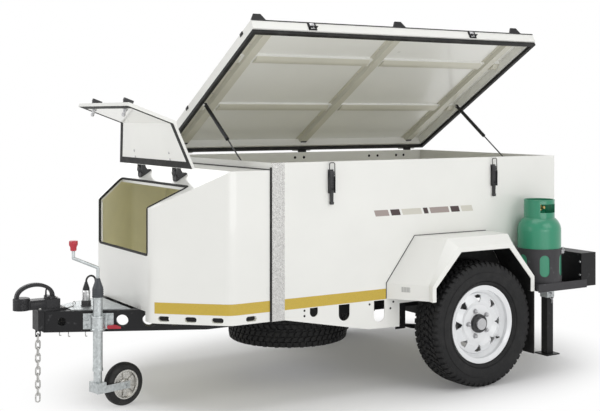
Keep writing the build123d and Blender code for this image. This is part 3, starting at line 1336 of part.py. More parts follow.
# Jockey wheel: clamp, tubes, crank, fork and wheel
jockey_x = fore(JOCKEY_X)
jockey_at = arm_plane.to_local_coords(Vector(jockey_x, JOCKEY_Y, arm_plane.origin.Z))
with BuildPart(arm_plane) as clamp:
    block(jockey_at.X - CLAMP_HALF, jockey_at.X + CLAMP_HALF, -CLAMP_LOW, CLAMP_HIGH, 0, CLAMP_PLATE)
    rod_along("Y", (jockey_at.X, 0, jockey_at.Z), JOCKEY_OUT_R + CLAMP_RING, CLAMP_RING_LONG)
    block(jockey_at.X - 2 * CLAMP_HALF, jockey_at.X + 2 * CLAMP_HALF, -CLAMP_RING_LONG, CLAMP_RING_LONG,
          -CLAMP_HALF, 0, mode=Mode.SUBTRACT)
    rod_along("Y", (jockey_at.X, 0, jockey_at.Z), JOCKEY_OUT_R, 2 * CLAMP_RING_LONG, mode=Mode.SUBTRACT)
with BuildPart(arm_plane) as clamp_lever:
    block(jockey_at.X + LEVER_START, jockey_at.X + LEVER_END, -LEVER_BASE, LEVER_HIGH - LEVER_BASE,
          CLAMP_PLATE, CLAMP_PLATE + LEVER_THICK)

jockey_middle = (jockey_x, JOCKEY_Y, (JOCKEY_LOW + JOCKEY_TOP) / 2)
with BuildPart() as jockey_tube:
    rod_along("Z", jockey_middle, JOCKEY_OUT_R, JOCKEY_TOP - JOCKEY_LOW)
    rod_along("Z", jockey_middle, JOCKEY_IN_R + RUNNING_GAP, JOCKEY_TOP - JOCKEY_LOW, mode=Mode.SUBTRACT)
with BuildPart() as boot:
    rod_along("Z", (jockey_x, JOCKEY_Y, (JOCKEY_TOP + BOOT_SHOULDER) / 2), BOOT_R,
              BOOT_SHOULDER - JOCKEY_TOP)
    with Locations((jockey_x, JOCKEY_Y, (BOOT_SHOULDER + BOOT_TOP) / 2)):
        Cone(BOOT_R, BOOT_TIP_R, BOOT_TOP - BOOT_SHOULDER)
save(boot.part, "jockey_boot")

with BuildPart() as crank:
    with BuildLine() as crank_path:
        Polyline(
            (jockey_x, JOCKEY_Y, BOOT_TOP),
            (jockey_x, JOCKEY_Y, CRANK_BEND_LOW),
            (jockey_x + CRANK_REACH, JOCKEY_Y, CRANK_BEND_HIGH),
            (jockey_x + CRANK_REACH, JOCKEY_Y, KNOB_LOW),
        )
    with BuildSketch(Plane(origin=(jockey_x, JOCKEY_Y, BOOT_TOP), z_dir=(0, 0, 1))):
        Circle(CRANK_R)
    sweep(path=crank_path.wires()[0], transition=Transition.ROUND)
    add(clamp.part)
    add(jockey_tube.part)
save(crank.part, "jockey_post")
with BuildPart() as knob:
    rod_along("Z", (jockey_x + CRANK_REACH, JOCKEY_Y, (KNOB_LOW + KNOB_TOP) / 2), KNOB_R,
              KNOB_TOP - KNOB_LOW)
    fillet(knob.edges().filter_by(GeomType.CIRCLE), KNOB_ROUND)
    add(clamp_lever.part)
save(knob.part, "jockey_grips")

inner_low = FORK_TOP + TOUCH_GAP
with BuildPart() as inner_tube:
    rod_along("Z", (jockey_x, JOCKEY_Y, (inner_low + JOCKEY_INNER_TOP) / 2), JOCKEY_IN_R,
              JOCKEY_INNER_TOP - inner_low)
save(inner_tube.part, "jockey_inner_tube")

jockey_plane = Plane(
    origin=(jockey_x, JOCKEY_Y, 0),
    x_dir=(-math.cos(math.radians(JOCKEY_TURN)), -math.sin(math.radians(JOCKEY_TURN)), 0),
    z_dir=(0, 0, 1),
)
jockey_wheel_plane = Plane(
    origin=jockey_plane.from_local_coords((JOCKEY_TRAIL, 0, JOCKEY_WHEEL_R)),
    x_dir=(0, 0, 1),
    z_dir=-jockey_plane.x_dir,
)
fork_gap = JOCKEY_WHEEL_WIDE / 2 + LID_GAP
jockey_axle = (JOCKEY_TRAIL, 0, JOCKEY_WHEEL_R)
with BuildPart(jockey_plane) as fork:
    block(-FORK_HALF, FORK_HALF, -fork_gap - FORK_PLATE, fork_gap + FORK_PLATE, FORK_LOW, FORK_TOP)
    for plate_y in (-fork_gap - FORK_PLATE, fork_gap):
        block(-FORK_HALF, JOCKEY_TRAIL + FORK_ARM_HALF, plate_y, plate_y + FORK_PLATE,
              JOCKEY_WHEEL_R - FORK_ARM_HALF, JOCKEY_WHEEL_R + FORK_ARM_HALF)
    rod_along("Y", jockey_axle, JOCKEY_PIN_R, 2 * fork_gap + JOCKEY_PIN_OVER)
save(fork.part, "jockey_fork")

with BuildPart() as jockey_tyre:
    for wall in (-1, 1):
        with BuildSketch(ring_plane(jockey_wheel_plane, wall * JOCKEY_WHEEL_WIDE / 2)):
            RegularPolygon(JOCKEY_WHEEL_R - JOCKEY_TYRE_ROUND, JOCKEY_TYRE_SIDES)
        with BuildSketch(ring_plane(jockey_wheel_plane, wall * (JOCKEY_WHEEL_WIDE / 2 - JOCKEY_TYRE_ROUND))):
            RegularPolygon(JOCKEY_WHEEL_R, JOCKEY_TYRE_SIDES)
        with BuildSketch(ring_plane(jockey_wheel_plane, 0)):
            RegularPolygon(JOCKEY_WHEEL_R, JOCKEY_TYRE_SIDES)
        loft(ruled=True)
    with BuildSketch(ring_plane(jockey_wheel_plane, -JOCKEY_WHEEL_WIDE / 2)):
        RegularPolygon(JOCKEY_TYRE_IN, JOCKEY_TYRE_SIDES, major_radius=False)
    extrude(amount=JOCKEY_WHEEL_WIDE, mode=Mode.SUBTRACT)
save(jockey_tyre.part, "jockey_tyre")
with BuildPart(jockey_plane) as jockey_rim:
    rod_along("Y", jockey_axle, JOCKEY_TYRE_IN, JOCKEY_WHEEL_WIDE - JOCKEY_RIM_SHORT)
    rod_along("Y", jockey_axle, JOCKEY_RIM_IN, JOCKEY_WHEEL_WIDE, mode=Mode.SUBTRACT)
    rod_along("Y", jockey_axle, JOCKEY_RIM_IN, JOCKEY_WEB)
    rod_along("Y", jockey_axle, JOCKEY_HUB_R, JOCKEY_WHEEL_WIDE + JOCKEY_HUB_OVER)
    rod_along("Y", jockey_axle, JOCKEY_PIN_R + RUNNING_GAP, 2 * JOCKEY_WHEEL_WIDE, mode=Mode.SUBTRACT)
save(jockey_rim.part, "jockey_rim")

# Rear bumper, lamps, number plate, legs and their sockets
with BuildPart() as bumper:
    block(fore(BUMPER_REAR), fore(BODY_REAR), -BUMPER_HALF, BUMPER_HALF, BUMPER_LOW, BUMPER_TOP)
    block(fore(BUMPER_REAR + SHEET), fore(BODY_REAR - SHEET), SHEET - BUMPER_HALF, BUMPER_HALF - SHEET,
          BUMPER_LOW, BUMPER_TOP - SHEET, mode=Mode.SUBTRACT)
save(bumper.part, "rear_bumper")
lamp_end = BUMPER_HALF - LAMP_INSET
with BuildPart() as lamps:
    block(fore(BUMPER_REAR - LAMP_DEEP), fore(BUMPER_REAR), lamp_end - LAMP_LONG, lamp_end,
          LAMP_LOW, LAMP_LOW + LAMP_HIGH)
    mirror(about=Plane.XZ)
save(lamps.part, "tail_lamps")
with BuildPart() as plate:
    block(fore(BUMPER_REAR - NUMBER_THICK), fore(BUMPER_REAR), -NUMBER_LONG / 2, NUMBER_LONG / 2,
          NUMBER_LOW, NUMBER_LOW + NUMBER_HIGH)
save(plate.part, "number_plate")


def post(side, low, high, mode=Mode.ADD):
    """Square upright piece on the centre line of the left leg."""
    with Locations((fore(LEG_X), LEG_Y, (low + high) / 2)):
        Box(side, side, high - low, mode=mode)


with BuildPart() as sockets:
    post(SOCKET_SIDE, SOCKET_LOW, SOCKET_TOP)
    post(LEG_SIDE + 2 * TOUCH_GAP, SOCKET_LOW, SOCKET_TOP, Mode.SUBTRACT)
    mirror(about=Plane.XZ)
save(sockets.part, "leg_sockets")
with BuildPart() as leg:
    post(LEG_SIDE, FOOT_THICK, LEG_TOP)
    post(FOOT_SIDE, 0, FOOT_THICK)
save_pair(leg.part, "leg")

# Gas bottles with trays and sleeves on both sides
with BuildPart() as tray:
    block(fore(BODY_REAR), fore(TRAY_FRONT), BODY_HALF, TRAY_OUT, TRAY_LOW, TRAY_LIP)
    block(fore(BODY_REAR), fore(TRAY_FRONT - SHEET), BODY_HALF, TRAY_OUT - SHEET,
          BOTTLE_BASE, TRAY_LIP, mode=Mode.SUBTRACT)
    block(fore(BODY_REAR), fore(TRAY_FRONT), BODY_HALF, TRAY_OUT - SHEET,
          TRAY_LOW, BOTTLE_BASE - SHEET, mode=Mode.SUBTRACT)
    mirror(about=Plane.XZ)

bottle_plane = Plane(origin=(fore(BOTTLE_X), BOTTLE_Y, 0), x_dir=(1, 0, 0), z_dir=(0, -1, 0))
bottle_axis = Axis((fore(BOTTLE_X), BOTTLE_Y, 0), (0, 0, 1))
bilge_z = BOTTLE_BASE + BOTTLE_BILGE
shoulder_z = BOTTLE_TOP - BOTTLE_SHOULDER
neck_z = BOTTLE_TOP - BOTTLE_NECK_LOW
crown_r = (BOTTLE_R + 2 * BOTTLE_R + BOTTLE_NECK_R) / 4
crown_z = shoulder_z + 2 * (neck_z - shoulder_z) / 3
with BuildPart() as bottle:
    with BuildSketch(bottle_plane):
        with BuildLine():
            Polyline(
                (0, BOTTLE_BASE),
                (BOTTLE_FOOT_R, BOTTLE_BASE),
                (BOTTLE_FOOT_R, BOTTLE_BASE + BOTTLE_FOOT_HIGH),
                (BOTTLE_R, bilge_z),
                (BOTTLE_R, shoulder_z),
            )
            ThreePointArc((BOTTLE_R, shoulder_z), (crown_r, crown_z), (BOTTLE_NECK_R, neck_z))
            Polyline(
                (BOTTLE_NECK_R, neck_z),
                (BOTTLE_NECK_R, BOTTLE_TOP - BOTTLE_NECK_TOP),
                (0, BOTTLE_TOP - BOTTLE_NECK_TOP),
                (0, BOTTLE_BASE),
            )
        make_face()
    revolve(axis=bottle_axis)
    with BuildSketch(bottle_plane):
        Polygon(
            (0, BOTTLE_BASE + 2 * BOTTLE_FOOT_HIGH),
            (BOTTLE_FOOT_R - SHEET, BOTTLE_BASE + 2 * BOTTLE_FOOT_HIGH),
            (BOTTLE_R - SHEET, bilge_z + SHEET),
            (BOTTLE_R - SHEET, shoulder_z - SHEET),
            (crown_r - 3 * SHEET, crown_z - 2 * SHEET),
            (BOTTLE_MOUTH_R, neck_z - 3 * SHEET),
            (BOTTLE_MOUTH_R, BOTTLE_TOP - BOTTLE_NECK_TOP),
            (0, BOTTLE_TOP - BOTTLE_NECK_TOP),
            align=None,
        )
    revolve(axis=bottle_axis, mode=Mode.SUBTRACT)
    with BuildSketch(Plane(origin=(fore(BOTTLE_X), BOTTLE_Y, BOTTLE_TOP - COLLAR_HIGH), z_dir=(0, 0, 1))):
        Circle(COLLAR_R)
        Circle(COLLAR_R - SHEET, mode=Mode.SUBTRACT)
    extrude(amount=COLLAR_HIGH)
    block(fore(BOTTLE_X - GRIP_LONG / 2), fore(BOTTLE_X + GRIP_LONG / 2), BOTTLE_Y - BOTTLE_R,
          BOTTLE_Y + BOTTLE_R, BOTTLE_TOP - GRIP_LOW, BOTTLE_TOP - GRIP_TOP, mode=Mode.SUBTRACT)
    mirror(about=Plane.XZ)
save(bottle.part, "gas_bottles")

window_at = (fore(BOTTLE_X), BOTTLE_Y, (SLEEVE_TOP + TRAY_LIP) / 2)
with BuildPart() as sleeve:
    with BuildSketch(Plane(origin=(fore(BOTTLE_X), BOTTLE_Y, BOTTLE_BASE), z_dir=(0, 0, 1))):
        Circle(BOTTLE_R + SLEEVE_THICK)
        Circle(BOTTLE_R + TOUCH_GAP, mode=Mode.SUBTRACT)
    extrude(amount=SLEEVE_TOP - BOTTLE_BASE)
    for turn in (0, 60, 120):
        window_dir = (math.cos(math.radians(turn)), math.sin(math.radians(turn)), 0)
        with BuildSketch(Plane(origin=window_at, x_dir=(0, 0, 1), z_dir=window_dir)):
            SlotOverall(SLEEVE_WINDOW_LONG, SLEEVE_WINDOW_WIDE)
        extrude(amount=2 * BOTTLE_R, both=True, mode=Mode.SUBTRACT)
    mirror(about=Plane.XZ)
    add(tray.part)
save(sleeve.part, "bottle_holders")
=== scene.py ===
"""Looks of the off-road camper trailer: finishes, tyre tread, seals, stripes and small fittings.

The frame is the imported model's: X forward, Y to the left, Z up from the ground. Shapes are drawn in
millimetres and placed in metres. The camera, the lights and the lead's curve are in metres.
"""

import json
from math import atan2, cos, pi, radians, sin, sqrt, tan

import bmesh
import bpy
from mathutils import Matrix, Vector


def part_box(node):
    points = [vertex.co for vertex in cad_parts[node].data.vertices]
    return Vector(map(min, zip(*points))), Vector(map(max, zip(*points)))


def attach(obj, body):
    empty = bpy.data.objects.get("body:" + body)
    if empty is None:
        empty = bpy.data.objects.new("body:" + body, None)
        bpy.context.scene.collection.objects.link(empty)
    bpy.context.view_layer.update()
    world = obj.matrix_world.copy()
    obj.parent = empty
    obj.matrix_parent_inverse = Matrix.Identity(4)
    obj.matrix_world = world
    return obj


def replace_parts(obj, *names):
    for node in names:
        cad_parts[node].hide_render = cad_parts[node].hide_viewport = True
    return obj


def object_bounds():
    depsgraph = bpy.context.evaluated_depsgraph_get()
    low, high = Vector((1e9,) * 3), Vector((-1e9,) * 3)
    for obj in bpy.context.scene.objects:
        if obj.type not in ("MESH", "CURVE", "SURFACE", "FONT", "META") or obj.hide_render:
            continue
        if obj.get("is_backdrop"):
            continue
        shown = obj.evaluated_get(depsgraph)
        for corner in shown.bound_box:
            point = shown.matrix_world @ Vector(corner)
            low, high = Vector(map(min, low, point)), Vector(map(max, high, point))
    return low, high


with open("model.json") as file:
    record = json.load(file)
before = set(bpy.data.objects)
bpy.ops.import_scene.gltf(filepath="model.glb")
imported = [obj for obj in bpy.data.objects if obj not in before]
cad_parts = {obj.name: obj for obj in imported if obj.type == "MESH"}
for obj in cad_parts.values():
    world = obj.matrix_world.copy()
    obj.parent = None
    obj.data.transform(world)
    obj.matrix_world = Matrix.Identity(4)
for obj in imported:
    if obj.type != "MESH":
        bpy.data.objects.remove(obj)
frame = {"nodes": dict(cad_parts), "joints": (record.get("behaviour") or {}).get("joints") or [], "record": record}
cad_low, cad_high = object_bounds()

MM = 0.001
IMAGE_WIDTH = 600
IMAGE_HEIGHT = 411
AHEAD = Vector((1, 0, 0))
LEFT = Vector((0, 1, 0))
UP = Vector((0, 0, 1))
HANDS = (-1, 1)
SIDES = (Matrix.Identity(4), Matrix.Scale(-1, 4, LEFT))

# Main places, read from the frame: tyres in millimetres, joints in metres
tyre_low, tyre_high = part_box("tyre_left")
spare_low, spare_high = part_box("spare_tyre")
AXLE = (tyre_low + tyre_high) / 2 / MM
SPARE = (spare_low + spare_high) / 2 / MM
TYRE_R = (tyre_high.z - tyre_low.z) / 2 / MM
TYRE_HALF = (tyre_high.y - tyre_low.y) / 2 / MM
joints = {joint["name"]: joint for joint in frame["joints"]}
slot_of = {row["node"]: row["material_slot"] for row in frame["record"]["subparts"]}
LID_OPEN = radians(-joints["lid_hinge"]["range_deg"][0])
HATCH_OPEN = radians(-joints["hatch_hinge"]["range_deg"][0])
lid_frame = Matrix.Translation(joints["lid_hinge"]["pos_m"]) @ Matrix.Rotation(LID_OPEN, 4, "X")
hatch_pivot = Vector(joints["hatch_hinge"]["pos_m"])
hatch_frame = (
    Matrix.Translation(hatch_pivot)
    @ Matrix.Rotation(HATCH_OPEN, 4, Vector(joints["hatch_hinge"]["axis"]))
    @ Matrix.Translation(-hatch_pivot)
)


# Shapes


def add_object(name, data):
    obj = bpy.data.objects.new(name, data)
    bpy.context.scene.collection.objects.link(obj)
    return obj


def turns(count):
    """Angles of a full turn in equal steps."""
    return [2 * pi * k / count for k in range(count)]


def around(origin, axis, across):
    """Function that gives the point at a turn from across, a radius and a place along the axis."""
    side = axis.cross(across)

    def at(turn, radius, along):
        return origin + (across * cos(turn) + side * sin(turn)) * radius + axis * along

    return at


class Shape:
    """A mesh drawn in millimetres. Each drawing method adds a solid, placed by the matrix in force."""

    def __init__(self, matrix=SIDES[0]):
        self.bm = bmesh.new()
        self.matrix = matrix

    def vert(self, point):
        return self.bm.verts.new(self.matrix @ (Vector(point) * MM))

    def box(self, low, high, bevel=0.0):
        low, high = Vector(low) * MM, Vector(high) * MM
        made = bmesh.ops.create_cube(self.bm, size=1.0)["verts"]
        for v in made:
            v.co = Vector(a * b for a, b in zip(v.co, high - low)) + (low + high) / 2
        if bevel:
            edges = {e for v in made for e in v.link_edges}
            cut = bmesh.ops.bevel(self.bm, geom=list(edges), offset=bevel * MM, segments=2,
                                  profile=0.5, affect="EDGES", clamp_overlap=True)
            made = {v for f in cut["faces"] for v in f.verts} | {v for v in made if v.is_valid}
        for v in made:
            v.co = self.matrix @ v.co

    def loft(self, rings, closed=False, foot=True):
        """Skin over rings of points that match one to one, with a foot under the first or open there."""
        rings = [[self.vert(p) for p in ring] for ring in rings]
        count = len(rings[0])
        pairs = list(zip(rings, rings[1:])) + ([(rings[-1], rings[0])] if closed else [])
        for a, b in pairs:
            for k in range(count):
                j = (k + 1) % count
                self.bm.faces.new((a[k], a[j], b[j], b[k]))
        if not closed:
            if foot:
                self.bm.faces.new(rings[0][::-1])
            self.bm.faces.new(rings[-1])

    def slab(self, points, lift):
        """Flat patch of points thickened by the vector lift."""
        self.loft([points, [p + lift for p in points]])

    def band(self, path, thick, low, high):
        """Upright strip over a plan path, thickened to the left of its run; high may differ by point."""
        rings = []
        for i, point in enumerate(path):
            along = (path[min(i + 1, len(path) - 1)] - path[max(i - 1, 0)]).normalized()
            out = point + Vector((-along.y, along.x, 0)) * thick
            top = high[i] if hasattr(high, "__len__") else high
            corners = ((point, low), (out, low), (out, top), (point, top))
            rings.append([Vector((p.x, p.y, z)) for p, z in corners])
        self.loft(rings)

    def sweep(self, path, radius, sides=8, closed=False):
        """Round bar along a path; radius is one number or one for each point."""
        count = len(path)
        radii = radius if hasattr(radius, "__len__") else [radius] * count
        frames, normal = [], None
        for i, point in enumerate(path):
            ahead = path[(i + 1) % count] if closed or i + 1 < count else point
            behind = path[i - 1] if closed or i else point
            along = (ahead - behind).normalized()
            if normal is None:
                normal = along.orthogonal().normalized()
            normal = (normal - along * normal.dot(along)).normalized()
            frames.append((normal, along.cross(normal)))
        slip = 0.0
        if closed:
            first, side = frames[0]
            slip = atan2(normal.dot(side), normal.dot(first))
        rings = []
        for i, (point, (normal, side)) in enumerate(zip(path, frames)):
            lag = slip * i / count
            ring = []
            for turn in turns(sides):
                out = normal * cos(turn - lag) + side * sin(turn - lag)
                ring.append(point + out * radii[i])
            rings.append(ring)
        self.loft(rings, closed)

    def rod(self, start, end, radius, sides, edge):
        """Round bar with its end edges softened by edge."""
        inset = (end - start).normalized() * edge
        radii = [radius - edge, radius, radius, radius - edge]
        self.sweep([start, start + inset, end - inset, end], radii, sides)

    def turned(self, profile, origin, axis, start=None, steps=64):
        """Solid of revolution: profile is (radius, distance along the axis), closed on itself."""
        at = around(origin, axis, start or axis.orthogonal().normalized())
        self.loft([[at(turn, r, z) for r, z in profile] for turn in turns(steps)], closed=True)

    def bolt(self, place, out, radius, height):
        """Hexagon head on a washer, standing on place and facing out."""
        washer = place + out * height * 0.3
        self.rod(place, washer, radius * 1.35, 20, edge=height * 0.08)
        self.rod(washer, place + out * height, radius, 6, edge=height * 0.12)

    def dome(self, place, out, radius, height):
        """Round rivet or button head."""
        shares = (0.0, 0.35, 0.7, 0.92, 1.0)
        path = [place + out * height * s for s in shares]
        radii = [radius * sqrt(max(1 - s * s, 0.02)) for s in shares]
        self.sweep(path, radii, 16)

    def piece(self, name, look, body="chassis", smooth=35.0):
        """Named piece that rides on a body; its slot is the look's own where the record has it."""
        bmesh.ops.recalc_face_normals(self.bm, faces=self.bm.faces[:])
        limit = radians(smooth)
        for face in self.bm.faces:
            face.smooth = True
        for edge in self.bm.edges:
            edge.smooth = edge.calc_face_angle(0) <= limit
        mesh = bpy.data.meshes.new(name)
        self.bm.to_mesh(mesh)
        self.bm.free()
        mesh.materials.append(looks[look])
        obj = add_object(name, mesh)
        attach(obj, body)
        return obj


def arc(centre, across, up, radius, start, end, steps):
    """Points of an arc in the plane of across and up, angles in degrees."""
    points = []
    for k in range(steps + 1):
        turn = radians(start + (end - start) * k / steps)
        points.append(centre + across * radius * cos(turn) + up * radius * sin(turn))
    return points


def rounded(path, radius, steps=5, closed=False):
    """Path with its corners rounded."""
    points = []
    for i, corner in enumerate(path):
        if not closed and i in (0, len(path) - 1):
            points.append(corner)
            continue
        back = (path[i - 1] - corner).normalized()
        ahead = (path[(i + 1) % len(path)] - corner).normalized()
        half = back.angle(ahead) / 2
        inward = (back + ahead).normalized()
        sideways = (ahead - back).normalized()
        centre = corner + inward * radius / sin(half)
        for k in range(steps + 1):
            turn = (pi / 2 - half) * (2 * k / steps - 1)
            points.append(centre + (sideways * sin(turn) - inward * cos(turn)) * radius)
    return points


def mirrored(half):
    """Profile of one side, (radius, place along), after its mirror image."""
    return [(r, -z) for r, z in half] + list(reversed(half))


def stacked(rib, count, step, shrink=0.0):
    """Profile of a row of ribs: the points of one, (radius, height), repeated up the axis."""
    return [(r - shrink * k, z + step * k) for k in range(count) for r, z in rib]


# Materials

looks = {}


def set_inputs(node, **values):
    """Set a node's inputs by name, an underscore standing for a space."""
    for name, value in values.items():
        node.inputs[name.replace("_", " ")].default_value = value


class Look:
    """Node material in the making, with a principled shader, kept in looks by its name."""

    def __init__(self, name, roughness, metallic=0.0, coat=0.0, specular=0.5):
        self.material = looks[name] = bpy.data.materials.new(name)
        self.material.use_nodes = True
        self.nodes = self.material.node_tree.nodes
        self.links = self.material.node_tree.links
        self.shader = self.nodes["Principled BSDF"]
        set_inputs(self.shader, Roughness=roughness, Metallic=metallic, Coat_Weight=coat)
        set_inputs(self.shader, Specular_IOR_Level=specular)
        self.where = self.nodes.new("ShaderNodeTexCoord").outputs["Object"]

    def node(self, kind, source, into="Vector", **values):
        """New node fed by source, with other inputs set by name."""
        node = self.nodes.new("ShaderNode" + kind)
        self.links.new(source, node.inputs[into])
        set_inputs(node, **values)
        return node

    def noise(self, size, detail=3.0, stretch=None):
        source = self.where
        if stretch:
            source = self.node("Mapping", source, Scale=stretch).outputs["Vector"]
        return self.node("TexNoise", source, Scale=1.0 / size, Detail=detail).outputs["Fac"]

    def cells(self, size, feature="F1", output="Distance"):
        node = self.node("TexVoronoi", self.where, Scale=1.0 / size)
        node.feature = feature
        return node.outputs[output]

    def ramp(self, source, stops):
        node = self.node("ValToRGB", source, "Fac")
        elements = node.color_ramp.elements
        while len(elements) < len(stops):
            elements.new(0.5)
        for element, (place, colour) in zip(elements, stops):
            element.position = place
            element.color = (*colour, 1.0)
        return node.outputs["Color"]

    def mottled(self, source, colour, low, high):
        """Colour made darker and lighter by two factors over the middle of a noise."""
        return self.ramp(source, [(0.3, shade(colour, low)), (0.7, shade(colour, high))])

    def spread(self, source, low, high):
        return self.node("MapRange", source, "Value", To_Min=low, To_Max=high).outputs["Result"]

    def mixed(self, factor, first, second):
        """Mix of a colour output and a plain colour."""
        node = self.nodes.new("ShaderNodeMix")
        node.data_type = "RGBA"
        self.links.new(factor, node.inputs["Factor"])
        sockets = {s.name: s for s in node.inputs if s.type == "RGBA"}
        self.links.new(first, sockets["A"])
        sockets["B"].default_value = (*second, 1.0)
        return next(s for s in node.outputs if s.type == "RGBA")

    def colour(self, source):
        self.links.new(source, self.shader.inputs["Base Color"])

    def rough(self, source, low, high):
        self.links.new(self.spread(source, low, high), self.shader.inputs["Roughness"])

    def bump(self, source, depth, strength):
        node = self.node("Bump", source, "Height", Distance=depth, Strength=strength)
        self.links.new(node.outputs["Normal"], self.shader.inputs["Normal"])


def shade(colour, factor):
    return tuple(min(c * factor, 1.0) for c in colour)


def paint(name, colour, roughness=0.28, coat=0.35, mottle=0.025):
    """Sprayed gloss paint: faint cloudiness in colour and gloss, and orange peel."""
    look = Look(name, roughness, coat=coat)
    clouds = look.noise(0.35, 4.0)
    look.colour(look.mottled(clouds, colour, 1 - mottle, 1 + mottle))
    look.rough(clouds, roughness - 0.03, roughness + 0.05)
    look.bump(look.noise(0.006, 1.0), 0.00001, 0.4)


def powder_coat(name, colour, roughness=0.42):
    """Satin black coat with a fine texture and a few dusty scuffs."""
    look = Look(name, roughness, specular=0.3)
    scuffs = look.ramp(look.noise(0.03, 6.0), [(0.62, (0, 0, 0)), (0.78, (0.35, 0.35, 0.35))])
    base = look.mottled(look.noise(0.2), colour, 0.85, 1.2)
    look.colour(look.mixed(scuffs, base, (0.16, 0.16, 0.165)))
    look.rough(look.noise(0.02, 4.0), roughness - 0.06, roughness + 0.12)
    look.bump(look.noise(0.0018, 2.0), 0.00012, 0.5)


def rubber(name, colour, roughness=0.62, dust_share=0.12):
    """Matt black rubber with a breath of dust."""
    look = Look(name, roughness, specular=0.3)
    film = look.ramp(look.noise(0.05, 6.0), [(0.45, (0, 0, 0)), (0.8, (dust_share,) * 3)])
    base = look.mottled(look.noise(0.01), colour, 0.85, 1.15)
    look.colour(look.mixed(film, base, (0.2, 0.195, 0.18)))
    look.rough(look.noise(0.015, 4.0), roughness - 0.08, roughness + 0.12)
    look.bump(look.noise(0.0016, 2.0), 0.00015, 0.4)


def plastic(name, colour, roughness=0.4):
    """Moulded plastic with a fine grain."""
    look = Look(name, roughness)
    look.colour(look.mottled(look.noise(0.04), colour, 0.9, 1.12))
    look.rough(look.noise(0.01), roughness - 0.06, roughness + 0.1)
    look.bump(look.cells(0.0012), 0.00008, 0.4)


def zinc(name, colour, roughness=0.38, spangle=0.012, contrast=0.22):
    """Galvanised steel: spangled patches of light and dull grey."""
    look = Look(name, roughness, metallic=0.75)
    patches = look.cells(spangle, output="Color")
    tone = look.node("SeparateColor", patches, "Color")
    stops = [(0.1, shade(colour, 1 - contrast)), (0.55, colour), (0.95, shade(colour, 1 + contrast))]
    spangled = look.ramp(tone.outputs["Red"], stops)
    look.colour(look.mixed(look.spread(look.noise(0.05, 5.0), 0.0, 0.5), spangled, shade(colour, 0.8)))
    look.rough(tone.outputs["Green"], roughness - 0.1, roughness + 0.14)
    look.bump(look.noise(0.004), 0.0001, 0.4)


def bright_metal(name, colour, roughness):
    """Plated or machined metal with faint streaks."""
    look = Look(name, roughness, metallic=0.95)
    lines = look.noise(0.02, 4.0, (1.0, 1.0, 14.0))
    look.colour(look.mottled(lines, colour, 0.88, 1.08))
    look.rough(look.noise(0.008), roughness - 0.06, roughness + 0.1)
    look.bump(lines, 0.00004, 0.3)


def reflective_tape(name, colour):
    """Retro-reflective yellow tape with its honeycomb of glass beads."""
    look = Look(name, 0.32, coat=0.4)
    comb = look.cells(0.0045, "DISTANCE_TO_EDGE")
    tint = look.ramp(comb, [(0.02, shade(colour, 0.8)), (0.12, colour)])
    look.colour(look.mixed(look.spread(look.noise(0.09, 4.0), 0.0, 0.35), tint, shade(colour, 0.86)))
    look.rough(look.noise(0.03), 0.26, 0.42)
    look.bump(comb, 0.0001, 0.3)


def lens(name, colour):
    """Coloured lamp lens with moulded ribs."""
    look = Look(name, 0.14, coat=0.5)
    wave = look.node("TexWave", look.where, Scale=45.0)
    wave.bands_direction = "Y"
    ribs = wave.outputs["Fac"]
    look.colour(look.ramp(ribs, [(0.1, shade(colour, 0.6)), (0.8, colour)]))
    look.bump(ribs, 0.0006, 0.5)


WHITE = (0.83, 0.83, 0.795)
# Painted shade: olive tint that darkens the white paint inside the nose locker
LOCKER_SHADE_TINT = (0.74, 0.71, 0.50)
# Painted shade: a darker olive copy of the white paint, for the lid's ribs and swages
LID_SHADED_WHITE = (0.62, 0.605, 0.52)
BLACK = (0.005, 0.005, 0.006)

# Paints: colour, roughness, coat, mottle
paint("white_paint", WHITE)
# Lid ribs and swages: the white paint darkened, painted shade
paint("lid_painted_shade", LID_SHADED_WHITE, 0.36, 0.15, 0.05)
# Painted shade for the inside of the nose locker
paint("liner_paint", LOCKER_SHADE_TINT, 0.5, 0.05, 0.09)
powder_coat("black_steel", BLACK)
zinc("galvanised", (0.51, 0.54, 0.545), contrast=0.16)
rubber("black_rubber", (0.014, 0.014, 0.014))
plastic("black_plastic", (0.016, 0.016, 0.018))
zinc("tread_plate", (0.57, 0.565, 0.55), 0.28, 0.009, 0.08)
rubber("tyre_rubber", (0.009, 0.009, 0.0095), 0.66, dust_share=0.05)
plastic("boot_grey", (0.045, 0.05, 0.058), 0.45)
paint("rim_white", (0.80, 0.81, 0.82), 0.24, 0.45, 0.02)
powder_coat("cast_black", (0.016, 0.016, 0.018), 0.36)
zinc("chain_zinc", (0.50, 0.495, 0.48), 0.34, 0.006, 0.25)
bright_metal("plug_alloy", (0.62, 0.62, 0.62), 0.3)
plastic("red_plastic", (0.45, 0.018, 0.035), 0.36)
lens("lamp_red", (0.42, 0.008, 0.006))
paint("plate_white", (0.78, 0.78, 0.76), 0.4, 0.1)
paint("bottle_green", (0.016, 0.23, 0.125), 0.3, 0.3, 0.08)
powder_coat("holder_grey", (0.038, 0.037, 0.04), 0.5)
powder_coat("strut_black", (0.014, 0.014, 0.015), 0.3)
bright_metal("rod_chrome", (0.08, 0.08, 0.085), 0.2)
bright_metal("hub_steel", (0.5, 0.5, 0.51), 0.35)
zinc("jockey_alloy", (0.62, 0.61, 0.58), 0.34, 0.008, 0.2)
reflective_tape("stripe_yellow", (0.60, 0.42, 0.035))
paint("decal_dark", (0.045, 0.024, 0.024), 0.35, 0.2, 0.1)
paint("decal_taupe", (0.34, 0.285, 0.265), 0.35, 0.2, 0.06)
paint("decal_pale", (0.62, 0.60, 0.53), 0.35, 0.2, 0.04)
bright_metal("brass", (0.55, 0.39, 0.16), 0.28)
lens("lamp_amber", (0.55, 0.14, 0.005))
lens("lamp_clear", (0.6, 0.6, 0.58))

# The lid's ribs take the darkened copy of the white paint: painted shade
for node, obj in frame["nodes"].items():
    obj.data.materials.clear()
    obj.data.materials.append(looks["lid_painted_shade" if node == "lid_ribs" else slot_of[node]])


# Camera and stage

